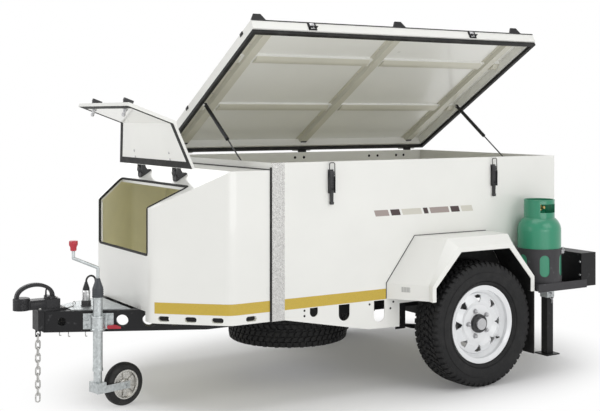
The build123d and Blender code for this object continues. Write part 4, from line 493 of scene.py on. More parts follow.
LENS_PIXELS = 1075.55
HORIZON_Y = 114.76
CAMERA_TURN = radians(31.66)
CAMERA_FROM_AXLE = Vector((3.87857, 5.25518, 1.46684))
FLOOR_SIZE = 40.0
# Floor glow: low inside an ellipse round the trailer's shadow, a painted pool of shade, and full beyond it
FLOOR_NEAR = 1.0
FLOOR_FAR = 1.6
FLOOR_GLOW = 0.1
SHADOW_CENTRE = -0.35
SHADOW_HALF = (1.2, 0.85, 1.0)
SURROUND_LIGHT = 0.38

camera_data = bpy.data.cameras.new("camera")
camera_data.sensor_width = 36.0
camera_data.lens = LENS_PIXELS / IMAGE_WIDTH * camera_data.sensor_width
camera_data.shift_y = -(IMAGE_HEIGHT / 2 - HORIZON_Y) / IMAGE_WIDTH
camera = add_object("camera", camera_data)
camera.location = CAMERA_FROM_AXLE + AHEAD * AXLE.x * MM
camera.rotation_euler = (radians(90), 0, radians(180) - CAMERA_TURN)
bpy.context.scene.camera = camera
bpy.context.scene.view_settings.view_transform = "Standard"


def make_floor():
    """Pale floor that takes the cast shadow; its glow is held back in an ellipse round the trailer, a painted pool
    of shade, and fades into the white surround.
    """
    mesh = bpy.data.meshes.new("floor")
    corners = [(x * FLOOR_SIZE, y * FLOOR_SIZE, 0) for x, y in ((-1, -1), (1, -1), (1, 1), (-1, 1))]
    mesh.from_pydata(corners, [], [(0, 1, 2, 3)])
    floor = add_object("floor", mesh)
    look = Look("floor_white", 0.9, specular=0.0)
    look.colour(look.ramp(look.noise(3.0, 2.0), [(0.3, (0.955,) * 3), (0.7, (0.97,) * 3)]))
    # Ellipse of SHADOW_CENTRE and SHADOW_HALF: painted shadow pool where the floor stops glowing, with the cast
    # shadow inside it
    shadow_pool_mask = look.node("Mapping", look.where, Location=(SHADOW_CENTRE, 0.0, 0.0), Scale=SHADOW_HALF)
    shadow_pool_mask.vector_type = "TEXTURE"
    reach = look.node("VectorMath", shadow_pool_mask.outputs["Vector"])
    reach.operation = "LENGTH"
    fade = look.node("MapRange", reach.outputs["Value"], "Value",
                     From_Min=FLOOR_NEAR, From_Max=FLOOR_FAR, To_Min=FLOOR_GLOW)
    fade.interpolation_type = "SMOOTHSTEP"
    glow = look.nodes.new("ShaderNodeEmission")
    mix = look.node("MixShader", fade.outputs["Result"], "Fac")
    look.links.new(look.shader.outputs["BSDF"], mix.inputs[1])
    look.links.new(glow.outputs["Emission"], mix.inputs[2])
    look.links.new(mix.outputs["Shader"], look.nodes["Material Output"].inputs["Surface"])
    mesh.materials.append(look.material)
    floor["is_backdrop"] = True


def make_world():
    """Even studio surround: white to the eye and to reflections, softer as a light."""
    world = bpy.data.worlds.new("studio")
    bpy.context.scene.world = world
    world.use_nodes = True
    nodes, links = world.node_tree.nodes, world.node_tree.links
    ground = nodes["Background"]
    path = nodes.new("ShaderNodeLightPath")
    seen = path.outputs["Is Camera Ray"]
    for kind in ("Is Glossy Ray", "Is Transmission Ray"):
        either = nodes.new("ShaderNodeMath")
        either.operation = "MAXIMUM"
        links.new(seen, either.inputs[0])
        links.new(path.outputs[kind], either.inputs[1])
        seen = either.outputs[0]
    strength = nodes.new("ShaderNodeMapRange")
    set_inputs(strength, To_Min=SURROUND_LIGHT, To_Max=1.0)
    links.new(seen, strength.inputs["Value"])
    links.new(strength.outputs["Result"], ground.inputs["Strength"])
    set_inputs(ground, Color=(1.0, 1.0, 1.0, 1.0))


def area_light(name, place, target, size, power):
    data = bpy.data.lights.new(name, "AREA")
    data.shape = "RECTANGLE"
    data.size, data.size_y = size
    data.energy = power
    light = add_object(name, data)
    light.location = place
    aim = Vector(target) - Vector(place)
    light.rotation_euler = aim.to_track_quat("-Z", "Y").to_euler()


make_floor()
make_world()
axle_x = AXLE.x * MM
area_light("key", (-1.6, 6.0, 4.6), (-0.2, 0.2, 0.7), (4.5, 3.5), 92)
area_light("front", (6.0, -0.5, 2.2), (0.6, 0.0, 0.7), (3.0, 3.0), 58)
area_light("top", (0.0, 0.0, 6.5), (0.0, 0.0, 0.6), (6.0, 5.0), 150)
area_light("back", (-1.0, -6.0, 4.0), (0.0, 0.0, 0.8), (5.0, 3.0), 80)
area_light("low", (0.5, 6.0, 0.9), (0.0, 0.0, 1.3), (5.0, 1.2), 52)
area_light("locker", (axle_x + 1.52, 0.12, 0.62), (axle_x + 1.25, -0.3, 0.9), (0.2, 0.08), 0.75)


# Road tyres with their tread, and the spare

RIM_SEAT_R = 192
BEAD_R = 212
CROWN_R = TYRE_R - 9
TREAD_PITCHES = 58
PITCH = 2 * pi / TREAD_PITCHES
CROWN_HALF = 78
CROWN_DROP = 1.5
BLOCK_HALF = 12
BLOCK_LEAN = 0.16
LUG_SINK = 9
LUG_FLARE = 0.45

# Rows of blocks: place across, lag in pitches
BLOCK_ROWS = ((-50, 0.0), (-20, 0.5), (20, 0.0), (50, 0.5))

# Corners of a block: turn in pitches, share of the lean, place across in half widths
BLOCK_CORNERS = ((-0.36, -1, -1), (0.30, -1, -1), (0.42, 0, -0.1),
                 (0.34, 1, 1), (-0.32, 1, 1), (-0.22, 0, 0.1))

# Rings of a block: radius, share of its patch, drop towards the shoulder
BLOCK_RINGS = ((CROWN_R - 2, 1, 0), (TYRE_R - 0.4, 1, CROWN_DROP), (TYRE_R, 0.9, CROWN_DROP))

# Corners of a middle block: turn in pitches, place across
MIDDLE_CORNERS = ((-0.33, -5), (0.27, -6), (0.38, 5), (-0.22, 6))


def tyre_profile():
    """Closed outline of the carcass, (radius, across), from points with their depth in from the side."""
    points = [
        (RIM_SEAT_R, 33), (BEAD_R, 31.5), (BEAD_R + 3, 22), (BEAD_R + 7, 17), (BEAD_R + 10, 15.5),
        (BEAD_R + 13, 11), (BEAD_R + 18, 10.5), (BEAD_R + 20, 13), (TYRE_R * 0.70, 6),
        (TYRE_R * 0.745, 1.2), (TYRE_R * 0.78, 0), (TYRE_R * 0.83, 0.6), (TYRE_R * 0.835, 3.6),
        (TYRE_R * 0.88, 4.2), (TYRE_R * 0.92, 6.5), (TYRE_R * 0.95, 12), (CROWN_R - 3, 21), (CROWN_R, 30),
    ]
    return mirrored([(r, TYRE_HALF - depth) for r, depth in points])


def add_tread_block(shape, at, corners):
    """Block on the carcass over a patch given by (turn, place across) corners."""
    mid_turn = sum(turn for turn, place in corners) / len(corners)
    mid_place = sum(place for turn, place in corners) / len(corners)
    rings = []
    for radius, share, drop in BLOCK_RINGS:
        ring = []
        for turn, place in corners:
            fall = (place / CROWN_HALF) ** 2 * drop
            turn = mid_turn + (turn - mid_turn) * share
            place = mid_place + (place - mid_place) * share
            ring.append(at(turn, radius - fall, place))
        rings.append(ring)
    shape.loft(rings, foot=False)


def add_shoulder_lug(shape, at, k, hand):
    """Lug that wraps from the tread over the shoulder, long and short by turns."""
    t0 = (k + (0.25 if hand > 0 else 0.75)) * PITCH
    reach = 0.905 if k % 2 else 0.93
    section = [(TYRE_R - 2.2, 66), (TYRE_R - 3.0, TYRE_HALF - 28), (TYRE_R * 0.985, TYRE_HALF - 16),
               (TYRE_R * 0.96, TYRE_HALF - 8.5), (TYRE_R * reach, TYRE_HALF - 4.6)]
    rings = []
    for step, (radius, place) in enumerate(section):
        half = (0.37 if step < 3 else 0.30) * PITCH
        ring = []
        for share, sink in ((-1, LUG_SINK), (-0.9, 0), (0.9, 0), (1, LUG_SINK)):
            over = hand * (place - sink * LUG_FLARE)
            ring.append(shape.vert(at(t0 + half * share, radius - sink, over)))
        rings.append(ring)
    for a, b in zip(rings, rings[1:]):
        for i in range(3):
            shape.bm.faces.new((a[i], a[i + 1], b[i + 1], b[i]))
    shape.bm.faces.new(rings[0])
    shape.bm.faces.new(rings[-1])


def make_tyre(node, body, origin, axis, across):
    """Carcass of revolution with five rows of blocks and shoulder lugs."""
    shape = Shape()
    at = around(origin, axis, across)
    shape.turned(tyre_profile(), origin, axis, across, steps=116)
    for k in range(TREAD_PITCHES):
        for centre, lag in BLOCK_ROWS:
            lean = BLOCK_LEAN * PITCH * (1 if centre > 0 else -1)
            corners = []
            for turn, share, place in BLOCK_CORNERS:
                corners.append(((k + lag + turn) * PITCH + share * lean, centre + place * BLOCK_HALF))
            add_tread_block(shape, at, corners)
        corners = [((k + turn) * PITCH, place) for turn, place in MIDDLE_CORNERS]
        add_tread_block(shape, at, corners)
        for hand in HANDS:
            add_shoulder_lug(shape, at, k, hand)
    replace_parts(shape.piece(f"{node}_tread", "tyre_rubber", body, smooth=28), node)


RIGHT_AXLE = Vector((AXLE.x, -AXLE.y, AXLE.z))
make_tyre("tyre_left", "wheel_left", AXLE, LEFT, UP)
make_tyre("tyre_right", "wheel_right", RIGHT_AXLE, -LEFT, UP)
make_tyre("spare_tyre", "chassis", SPARE, -UP, AHEAD)


# Wheel fittings: nuts, hub ring, valve

NUT_COUNT = 5
NUT_CIRCLE = 70
NUT_TURN = radians(18)
DISC_FACE = 42
RING_PROFILE = ((34, 40), (50, 40), (51, 46), (49, 60), (34, 62))
VALVE_CIRCLE = 170
VALVE_FACE = 34


def make_wheel_fittings(side, centre, out):
    """Five nuts, the black centre ring and the valve."""
    body = f"wheel_{side}"
    at = around(centre, out, UP)
    nuts = Shape()
    for turn in turns(NUT_COUNT):
        foot = at(turn + NUT_TURN, NUT_CIRCLE, DISC_FACE)
        nuts.rod(foot, foot + out * 3, 14, 24, edge=1)
        nuts.rod(foot + out * 3, foot + out * 17, 10.5, 6, edge=2)
        nuts.dome(foot + out * 17, out, 7, 5)
    nuts.piece(f"wheel_nuts_{side}", "hub_steel", body)
    ring = Shape()
    ring.turned(RING_PROFILE, centre, out, UP, 48)
    ring.piece(f"hub_ring_{side}", "black_plastic", body)
    valve = Shape()
    spoke = (UP * -0.55 + out.cross(UP) * (-0.83 if side == "left" else 0.83)).normalized()
    foot = centre + spoke * VALVE_CIRCLE + out * VALVE_FACE
    tip = foot + out * 32 - spoke * 16
    valve.sweep([foot - out * 8, foot, foot + (tip - foot) * 0.55, tip], [7, 6, 4.4, 4], 14)
    valve.piece(f"valve_{side}", "black_rubber", body)


make_wheel_fittings("left", AXLE, LEFT)
make_wheel_fittings("right", RIGHT_AXLE, -LEFT)


# Places in millimetres, x ahead of the axle

BODY_HALF = 635
NOSE_JOINT_X = 1199
NOSE_FRONT_X = 1726
SLANT = atan2(186, 304)
SLANT_OUT = Vector((sin(SLANT), 0, cos(SLANT)))
SLANT_DOWN = Vector((cos(SLANT), 0, -sin(SLANT)))
SPLAY = atan2(354, 726)
ARM_OUT = Vector((sin(SPLAY), cos(SPLAY), 0))
ARM_BACK = Vector((-cos(SPLAY), sin(SPLAY), 0))


def spot(x, y, z):
    """Point on the trailer."""
    return Vector((AXLE.x + x, y, z))


def lid_spot(x, y, z):
    """Point in the lid's own frame, y across from the hinge and z up when shut."""
    return spot(x, y, z) - AHEAD * lid_frame.translation.x / MM


SLANT_HEAD = spot(1550, 0, 1112.7)
ARM_TIP = spot(2157, 38, 436.5)


def slant_spot(along, across, out):
    """Point over the nose's slant, along counted down from the head of the hatch opening."""
    return SLANT_HEAD + SLANT_DOWN * along + LEFT * across + SLANT_OUT * out


def arm_spot(back, up, out):
    """Point on the left drawbar arm's outer face, back from its tip."""
    return ARM_TIP + ARM_BACK * back + UP * up + ARM_OUT * out


# Lead of the parked plug

PLUG = spot(1930, 20, 0)
LEAD_EXIT = 614
LEAD_RADIUS = 5
LEAD_ROUTE = ((0, LEAD_EXIT), (0, 634), (-25, 649), (-50, 634), (-50, 600), (-50, 493))

lead_curve = bpy.data.curves.new("plug_lead_cord", "CURVE")
lead_curve.dimensions = "3D"
lead_curve.bevel_depth = LEAD_RADIUS * MM
lead_curve.bevel_resolution = 4
lead_curve.resolution_u = 16
lead_line = lead_curve.splines.new("NURBS")
lead_line.points.add(len(LEAD_ROUTE) - 1)
for point, (along, high) in zip(lead_line.points, LEAD_ROUTE):
    point.co = (*(PLUG + AHEAD * along + UP * high) * MM, 1.0)
lead_line.order_u = 3
lead_line.use_endpoint_u = True
lead_curve.materials.append(looks["black_rubber"])
lead = add_object("plug_lead_cord", lead_curve)
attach(lead, "chassis")
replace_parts(lead, "plug_lead")


# Parked plug: holder, rubber boot, ribbed alloy shell

HOLDER_PROFILE = ((9, 493), (27, 493), (27, 496), (24, 499), (24.5, 517), (22, 522), (9, 522))
PLUG_BOOT_PROFILE = [
    (9, 574), (17, 574), (18, 577), (17, 586),
    *stacked(((15, 588), (15.6, 591)), 5, 5.4, 1.8),
    (6.6, 616), (5.3, 617), (5.3, 600),
]
SHELL_PROFILE = [
    (4, 522), (20.5, 522), (21, 524), (21, 533),
    *stacked(((19.4, 534), (19.4, 537), (21, 538), (21, 541)), 4, 8),
    (20.4, 570), (18, 574), (4, 574),
]

holder = Shape()
holder.turned(HOLDER_PROFILE, PLUG, UP, steps=32)
holder.turned(PLUG_BOOT_PROFILE, PLUG, UP, steps=32)
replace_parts(holder.piece("plug_holder_and_boot", "black_plastic"), "plug_lead")
shell = Shape()
shell.turned(SHELL_PROFILE, PLUG, UP, steps=40)
shell.box(PLUG + Vector((-7, 18, 528)), PLUG + Vector((7, 23, 566)), 2)
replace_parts(shell.piece("plug_shell", "plug_alloy"), "trailer_plug")


# Yellow reflective stripe round the nose and sides

STRIPE_LOW = 489
STRIPE_HIGH = 544
STRIPE_THICK = 0.6
STRIPE_PLAN = ((NOSE_FRONT_X, 250), (NOSE_FRONT_X, 364), (1422, BODY_HALF), (NOSE_JOINT_X, BODY_HALF))

stripe = Shape()
# From the joint forward, ending in the bend to the nose front
nose_line = rounded([spot(x, y, 0) for x, y in STRIPE_PLAN], 80, 8)[:6:-1]
side_line = [spot(x, BODY_HALF, 0) for x in (493, 1120.5)]
for side in SIDES:
    stripe.matrix = side
    for line in (nose_line, side_line):
        stripe.band(line, STRIPE_THICK, STRIPE_LOW, STRIPE_HIGH)
stripe.piece("side_stripe", "stripe_yellow")


# Generic bars on the left side

BAR_LOW = 930
BAR_HIGH = 962
BAR_LEAN = 12
BAR_THICK = 0.4
BARS = {
    "taupe": ((560, 470), (190, 60)),
    "dark": ((455, 395), (235, 205), (45, -15)),
    "pale": ((380, 250), (-30, -110)),
}

for tone, runs in BARS.items():
    bars = Shape()
    for front, rear in runs:
        low = [spot(x, BODY_HALF, BAR_LOW) for x in (front, rear)]
        high = [spot(x + BAR_LEAN, BODY_HALF, BAR_HIGH) for x in (rear, front)]
        bars.slab(low + high, LEFT * BAR_THICK)
    bars.piece(f"side_bars_{tone}", f"decal_{tone}")


# Nose: joint beads, painted shade sheet inside the locker, opening trim

BEAD_X = 1200
SHADE_SHEET_LOW = 511
SHADE_SHEET_ROOF = 1168
SHADE_SHEET_SLANT_X = 1418
SHADE_SHEET_BEND = 60
SHADE_SHEET_PLAN = ((1197.5, 613), (1413.6, 613), (1704, 354), (1704, 331))
TRIM_X = 1724.5
TRIM_HALF = 322
TRIM_LOW = 771
TRIM_BROW = 1004.2
TRIM_HEAD_HALF = 434

bead = Shape()
for hand in HANDS:
    bead.sweep([spot(BEAD_X, hand * 637, z) for z in (441, 1205)], 6, 10)
bead.sweep([spot(NOSE_JOINT_X, y, 1192) for y in (-632, 632)], 4, 10)
bead.piece("nose_joint_beads", "black_rubber")

# Thin sheet over the locker's side walls and back wall in the olive tint: painted shade, not a real liner
locker_shade = Shape()
inner = rounded([spot(x, y, 0) for x, y in SHADE_SHEET_PLAN], SHADE_SHEET_BEND, 8)
slant_start = spot(SHADE_SHEET_SLANT_X, 0, 0).x
roof = [SHADE_SHEET_ROOF - max(p.x - slant_start, 0) * tan(SLANT) for p in inner]
for side in SIDES:
    locker_shade.matrix = side
    locker_shade.band(inner, 1.5, SHADE_SHEET_LOW, roof)
    locker_shade.sweep([spot(BEAD_X, 612, z) for z in (512, 1166)], 5, 10)
locker_shade.matrix = SIDES[0]
locker_shade.box(spot(1197.3, -614.8, SHADE_SHEET_LOW), spot(NOSE_JOINT_X, 614.8, 1167))
locker_shade.piece("nose_locker_painted_shade", "liner_paint")

trim = Shape()
foot = [spot(TRIM_X, y, TRIM_LOW) for y in (-TRIM_HALF, TRIM_HALF)]
head = [slant_spot(3, y, -1.5) for y in (TRIM_HEAD_HALF, -TRIM_HEAD_HALF)]
edge = [*foot, spot(TRIM_X, TRIM_HALF, TRIM_BROW), *head, spot(TRIM_X, -TRIM_HALF, TRIM_BROW)]
trim.sweep(rounded(edge, 14, 5, True), 6.5, 10, closed=True)
trim.piece("hatch_opening_trim", "black_rubber")


# Hatch: seal, hinge barrels, lock bezels, bolts and lock cams

HINGE_Y = 225
LOCK_Y = 215
LOCK_Z = 793
SEAL_SECTION = ((2, 6), (36, 6), (36, 5), (2, 5))
BARREL_PROFILE = mirrored(((13, 20.5), (17, 18), (22.5, 12), (25.5, 5)))
BEZEL_PROFILE = ((4, 0), (30, 0), (30, 3), (27, 8), (24.5, 10), (4, 10))

# Rods of a lock: x from and to, radius, sides
LOCK_RODS = ((1732, 1692, 8, 16), (1706, 1698, 11, 6), (1732, 1727, 15, 6))

seal = Shape(hatch_frame)
for hand in HANDS:
    head = [slant_spot(-18, hand * (467 - a), out) for a, out in SEAL_SECTION]
    brow = [spot(NOSE_FRONT_X + out, hand * (345 - a), 1005 + 0.56 * out) for a, out in SEAL_SECTION]
    foot = [spot(NOSE_FRONT_X + out, hand * (345 - a), 750) for a, out in SEAL_SECTION]
    seal.loft([head, brow, foot])
seal.loft([[slant_spot(a - 20, y, out) for a, out in SEAL_SECTION] for y in (-440, 440)])
seal.loft([[spot(NOSE_FRONT_X + out, y, 748 + a) for a, out in SEAL_SECTION] for y in (-318, 318)])
seal.piece("hatch_seal", "black_rubber", "hatch")

barrels = Shape()
caps = Shape(hatch_frame)
bolts = Shape(hatch_frame)
for hand in HANDS:
    barrels.turned(BARREL_PROFILE, spot(1518, hand * HINGE_Y, 1167), LEFT, steps=28)
    for along in (-78, -90):
        for side in (-12, 12):
            barrels.dome(slant_spot(along, hand * HINGE_Y + side, 8), SLANT_OUT, 5, 3)
    for along in (22, 56):
        bolts.dome(slant_spot(along, hand * HINGE_Y, 6), -SLANT_OUT, 7, 4)
    caps.turned(BEZEL_PROFILE, spot(1750, hand * LOCK_Y, LOCK_Z), AHEAD, steps=32)
    for start, end, radius, sides in LOCK_RODS:
        bolts.rod(*(spot(x, hand * LOCK_Y, LOCK_Z) for x in (start, end)), radius, sides, edge=1)
barrels.piece("hatch_hinge_barrels", "black_plastic")
caps.piece("hatch_lock_bezels", "black_plastic", "hatch")
bolts.piece("hatch_bolts_and_cams", "hub_steel", "hatch")


# Chequer plate pattern on the corner guards

GUARD_FACE = 637.8
CHEQUER_ROWS = 45
CHEQUER_COLUMNS = 4
LOZENGE = ((9.5, 0), (4, 3), (-4, 3), (-9.5, 0), (-4, -3), (4, -3))

pattern = Shape()
for hand in HANDS:
    for row in range(CHEQUER_ROWS):
        for column in range(CHEQUER_COLUMNS):
            centre = spot(1131 + 18.7 * column, hand * GUARD_FACE, 452 + 17 * row + 8 * (column % 2))
            lean = radians(45 if (row + column) % 2 else -45)
            along = Vector((cos(lean), 0, sin(lean)))
            across = Vector((-sin(lean), 0, cos(lean)))
            rings = []
            for share, lift in ((1.0, 0.0), (0.62, 1.4)):
                top = centre + LEFT * hand * lift
                rings.append([top + (along * a + across * b) * share for a, b in LOZENGE])
            pattern.loft(rings)
pattern.piece("guard_chequer", "tread_plate")


# Lid latches on the left side and their hooks on the lid

LATCH_X = (845, -255)

# Boxes of a latch: x from and to, y from and to, z from and to, bevel
LATCH_BOXES = [
    (-17, 17, BODY_HALF, 638, 1064, 1186, 1.2),
    (-13, 13, 637, 652, 1084, 1178, 3),
    *((-14, 14, 648, 655, 1094 + 13 * rib, 1100 + 13 * rib, 1.5) for rib in range(6)),
    (-15.5, -12.5, 637, 659, 1066, 1152, 1.2),
    (12.5, 15.5, 637, 659, 1066, 1152, 1.2),
    (-11, 11, 639, 653, 1006, 1022, 4),
]
LATCH_LEVER = ((-9, 1084), (9, 1084), (7, 1006), (-7, 1006))
LATCH_BAIL = ((-16, 652, 1148), (-16, 650, 1221), (16, 650, 1221), (16, 652, 1148))
LATCH_HOOK = ((1303, 24), (1313, 25), (1316, 38))

latch = Shape()
wires = Shape()
hooks = Shape(lid_frame)
for x in LATCH_X:
    for left, right, inner, outer, low, high, bevel in LATCH_BOXES:
        latch.box(spot(x + left, inner, low), spot(x + right, outer, high), bevel)
    latch.slab([spot(x + a, 641, z) for a, z in LATCH_LEVER], LEFT * 9)
    for z, radius in ((1076, 5), (1148, 4)):
        latch.rod(spot(x - 19, 650, z), spot(x + 19, 650, z), radius, 16, edge=1)
    wires.sweep(rounded([spot(x + a, y, z) for a, y, z in LATCH_BAIL], 9), 2.4, 10)
    wires.dome(spot(x, 652, 1087), LEFT, 5, 3)
    hooks.box(lid_spot(x - 14, 1300, 20), lid_spot(x + 14, 1306, 56), 1.5)
    hooks.sweep(rounded([lid_spot(x, y, z) for y, z in LATCH_HOOK], 5), 3.4, 10)
    for z in (34, 48):
        hooks.dome(lid_spot(x, 1306, z), LEFT, 4, 2.5)
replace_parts(latch.piece("latch_bodies", "black_plastic"), "lid_latches")
wires.piece("latch_bails", "strut_black")
hooks.piece("lid_hooks", "hub_steel", "lid")


# Lid: black pads as painted shade in the rib ends, bolts, rack feet, a black rod as painted shade along the edge,
# clips, swages in painted shade, strut nuts

RIB_X = (1075, 230, -615)
RIB_SECTION = ((-20, 31), (20, 31), (27, 54), (-27, 54))
RIB_BOLT_Y = (120, 330, 590, 830, 1090, 1210)
RACK_X = (1140, 230, -640)
SWAGE_Y = (455, 960)
SWAGE_RUNS = ((1172, 1124), (1026, 279), (181, -566), (-664, -710))
SWAGE_SECTION = ((-35, 46.5), (-12, 34), (12, 34), (35, 46.5))

rib_end_shade = Shape(lid_frame)
lid_bolts = Shape(lid_frame)
feet_clips_and_edge_shade = Shape(lid_frame)
for x in RIB_X:
    # Black pads across the open ends of the hat ribs: painted shade in their hollows
    for y, inward in ((46, 1), (1263, -1)):
        corners = [lid_spot(x + a, y - 0.8 * inward, z - 1.2) for a, z in RIB_SECTION]
        rib_end_shade.slab(corners, LEFT * 14 * inward)
    for y in RIB_BOLT_Y:
        for side in (-39, 39):
            lid_bolts.dome(lid_spot(x + side, y, 55), -UP, 4.5, 2.5)
for x in RACK_X:
    for low, high, bolt_y in ((1228, 1262, 1243.3), (48, 82, 66.7)):
        feet_clips_and_edge_shade.box(lid_spot(x - 55, low, 62), lid_spot(x + 55, high, 66), 1.5)
        for side in (-38, 38):
            lid_bolts.bolt(lid_spot(x + side, bolt_y, 66), UP, 7, 7)
# Black rod along the lid's outer edge: painted shade under the edge of the top skin
feet_clips_and_edge_shade.sweep([lid_spot(x, 1301, 61) for x in (-742, 1204)], 3)
for y in (1180, 430):
    feet_clips_and_edge_shade.box(lid_spot(1206, y - 16, 44), lid_spot(1210, y + 16, 63), 1.2)
lid_bolts.box(lid_spot(560, 1258, 6), lid_spot(620, 1276, 12), 2)
# Swage ridges in the darkened copy of the lid's white paint: painted shade
swages = Shape(lid_frame)
for y in SWAGE_Y:
    for run in SWAGE_RUNS:
        swages.loft([[lid_spot(x, y + a, z) for a, z in SWAGE_SECTION] for x in run])
swages.piece("lid_swages", "lid_painted_shade", "lid")
rib_end_shade.piece("lid_rib_end_painted_shade", "black_plastic", "lid")
feet_clips_and_edge_shade.piece("lid_rack_feet_and_edge_shade", "black_steel", "lid")
lid_bolts.piece("lid_bolts", "hub_steel", "lid")

strut_ends = Shape(lid_frame)
for start, end in ((1139.5, 1135), (-677.5, -673)):
    strut_ends.rod(lid_spot(start, 534, 14), lid_spot(end, 534, 14), 7.5, 6, edge=1)
strut_ends.piece("strut_stud_nuts", "hub_steel", "lid")


# Bolts of the lid hinges and the side panels

HINGE_BOLT_X = (299, 232, -279, -349, -503, -566)
SIDE_BOLTS = ((445, 470), (464, 437), (1003, 475), (1003, 448), (600, 470))

side_bolts = Shape()
for x in HINGE_BOLT_X:
    side_bolts.dome(spot(x, -609.8, 1194), LEFT, 9, 4)
for hand in HANDS:
    for x, z in SIDE_BOLTS:
        side_bolts.dome(spot(x, hand * BODY_HALF, z), LEFT * hand, 6, 3)
side_bolts.piece("side_bolts", "black_steel")


# Fenders: underseal, sealant line, rolled arch edge, reflector patch

FENDER_ROOT_Y = 636
FENDER_FACE_Y = 865
FENDER_FOOT = 492
FENDER_BEND = 573
FENDER_ROOT = ((492, 491), (492, 573), (304, 814), (-200, 814), (-350, 573), (-350, 491))
FENDER_ARCH = ((342, 493), (342, 565), (171, 744), (-171, 744), (-330, 565), (-330, 493))
REFLECTOR = ((-24, -13), (24, -13), (24, 13), (-24, 13))
UNDERSEAL_STEPS = 8

# Planes across the fender: y, then x at the front, front top, rear top and rear, and the top's z
FENDER_PLANES = (
    (FENDER_ROOT_Y, 492, 304, -200, -350, 814),
    (830, 358, 236, -190, -348, 814),
    (863.4, 364, 188, -186, -352, 768),
)


def fender_outline(hand, plane, inset):
    """Points round the fender's inside at one plane, drawn in by the inset."""
    y, front, front_top, rear_top, rear, top = plane
    top -= inset
    bend = FENDER_BEND - inset / 2
    front_side = [(front - inset, FENDER_FOOT), (front - inset, bend), (front_top - inset, top)]
    rear_side = [(rear_top + inset, top), (rear + inset, bend), (rear + inset, FENDER_FOOT)]
    corners = [spot(x, hand * y, z) for x, z in front_side + rear_side]
    points = []
    for a, b in zip(corners, corners[1:]):
        points += [a.lerp(b, k / UNDERSEAL_STEPS) for k in range(UNDERSEAL_STEPS)]
    return points + corners[-1:]


underseal = Shape()
sealant = Shape()
arch = Shape()
patch = Shape()
for hand in HANDS:
    rings = []
    for a, b in zip(FENDER_PLANES, FENDER_PLANES[1:]):
        for k in range(UNDERSEAL_STEPS + 1):
            plane = [p + (q - p) * k / UNDERSEAL_STEPS for p, q in zip(a, b)]
            rings.append(fender_outline(hand, plane, 6) + fender_outline(hand, plane, 8)[::-1])
    underseal.loft(rings)
    underseal.slab(fender_outline(hand, FENDER_PLANES[0], 9), LEFT * hand * 0.8)
    sealant.sweep([spot(x, hand * FENDER_ROOT_Y, z + 1) for x, z in FENDER_ROOT], 2.4)
    arch.sweep([spot(x, hand * FENDER_FACE_Y, z) for x, z in FENDER_ARCH], 4)
    run = Vector((-0.566, 0.824 * hand, 0))
    face = Vector((0.824, 0.566 * hand, 0))
    patch.slab([spot(430, hand * 725, 545) + run * a + UP * b for a, b in REFLECTOR], face * 2)
underseal.piece("fender_underseal", "black_rubber")
sealant.piece("fender_sealant", "holder_grey")
arch.piece("fender_arch_edge", "white_paint")
patch.piece("fender_reflectors", "lamp_clear")


# Safety chain with round links

LINK_COUNT = 10
LINK_PITCH = 32.9
LINK_BEND = 10.5
LINK_LEANS = (8, -6, 4, -9)

chain = Shape()
for link in range(LINK_COUNT):
    centre = spot(2175, 0, 352 - LINK_PITCH * link)
    lean = radians(LINK_LEANS[link % 4])
    wide = (cos(lean), sin(lean), 0) if link % 2 else (sin(lean), cos(lean), 0)
    line = arc(centre + UP * 11.5, Vector(wide), UP, LINK_BEND, 0, 180, 8)
    line += arc(centre - UP * 11.5, Vector(wide), UP, LINK_BEND, 180, 360, 8)
    chain.sweep(line, 3.9, 10, closed=True)
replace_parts(chain.piece("chain_links", "chain_zinc"), "safety_chain")


# Coupling and drawbar fittings

BOSS_PROFILE = ((2, 0), (15, 0), (15, 5), (12, 9), (2, 9))
ARM_HOOKS = ((74, 20), (118, 26), (202, 26))

casting = Shape()
casting.sweep([spot(x, 8, z) for x, z in ((2137, 556), (2136, 588), (2130, 606))], [5, 4, 4.5], 12)
for hand in HANDS:
    casting.turned(BOSS_PROFILE, spot(2262, hand * 40, 524), LEFT * hand, steps=24)
    casting.box(spot(2140, hand * 30, 506), spot(2225, hand * 36, 538), 4)
    casting.rod(spot(2118, hand * 26, 552), spot(2118, hand * 33, 552), 9, 18, edge=1.5)
casting.piece("coupling_bosses", "cast_black")

steel = Shape()
steel.sweep(arc(spot(2094, 0, 550), AHEAD, LEFT, 17, 0, 340, 20), 3.5, 10)
for hand in HANDS:
    for x, y in ((2056, 34), (2176, 37)):
        steel.bolt(spot(x, hand * y, 500), UP, 7, 8)
steel.sweep(arc(spot(1984, -8, 506), Vector((0.8, 0.6, 0)), UP, 11, -60, 240, 18), 2)
steel.sweep([spot(1990, -3, 494), spot(2010, 12, 495), spot(2030, 28, 494)], 3)
for back, drop in ARM_HOOKS:
    top = arm_spot(back, -52, -20)
    bend = top - UP * drop
    steel.sweep(rounded([top, bend, bend + ARM_BACK * 9], 3), 2.6)
steel.piece("drawbar_small_steel", "chain_zinc")


# Jockey wheel: ribbed boot, grips, clamp casting, tyre and rim

JOCKEY = spot(1932, 188, 0)
JOCKEY_BOOT_PROFILE = [
    (9, 563), (28, 563),
    *stacked(((28.5, 566), (28.5, 571), (26.8, 572.5), (26.8, 575)), 4, 10),
    (27.5, 606), (24, 616), (17.5, 634), (14, 643), (12.5, 650), (11, 656), (9, 656),
]

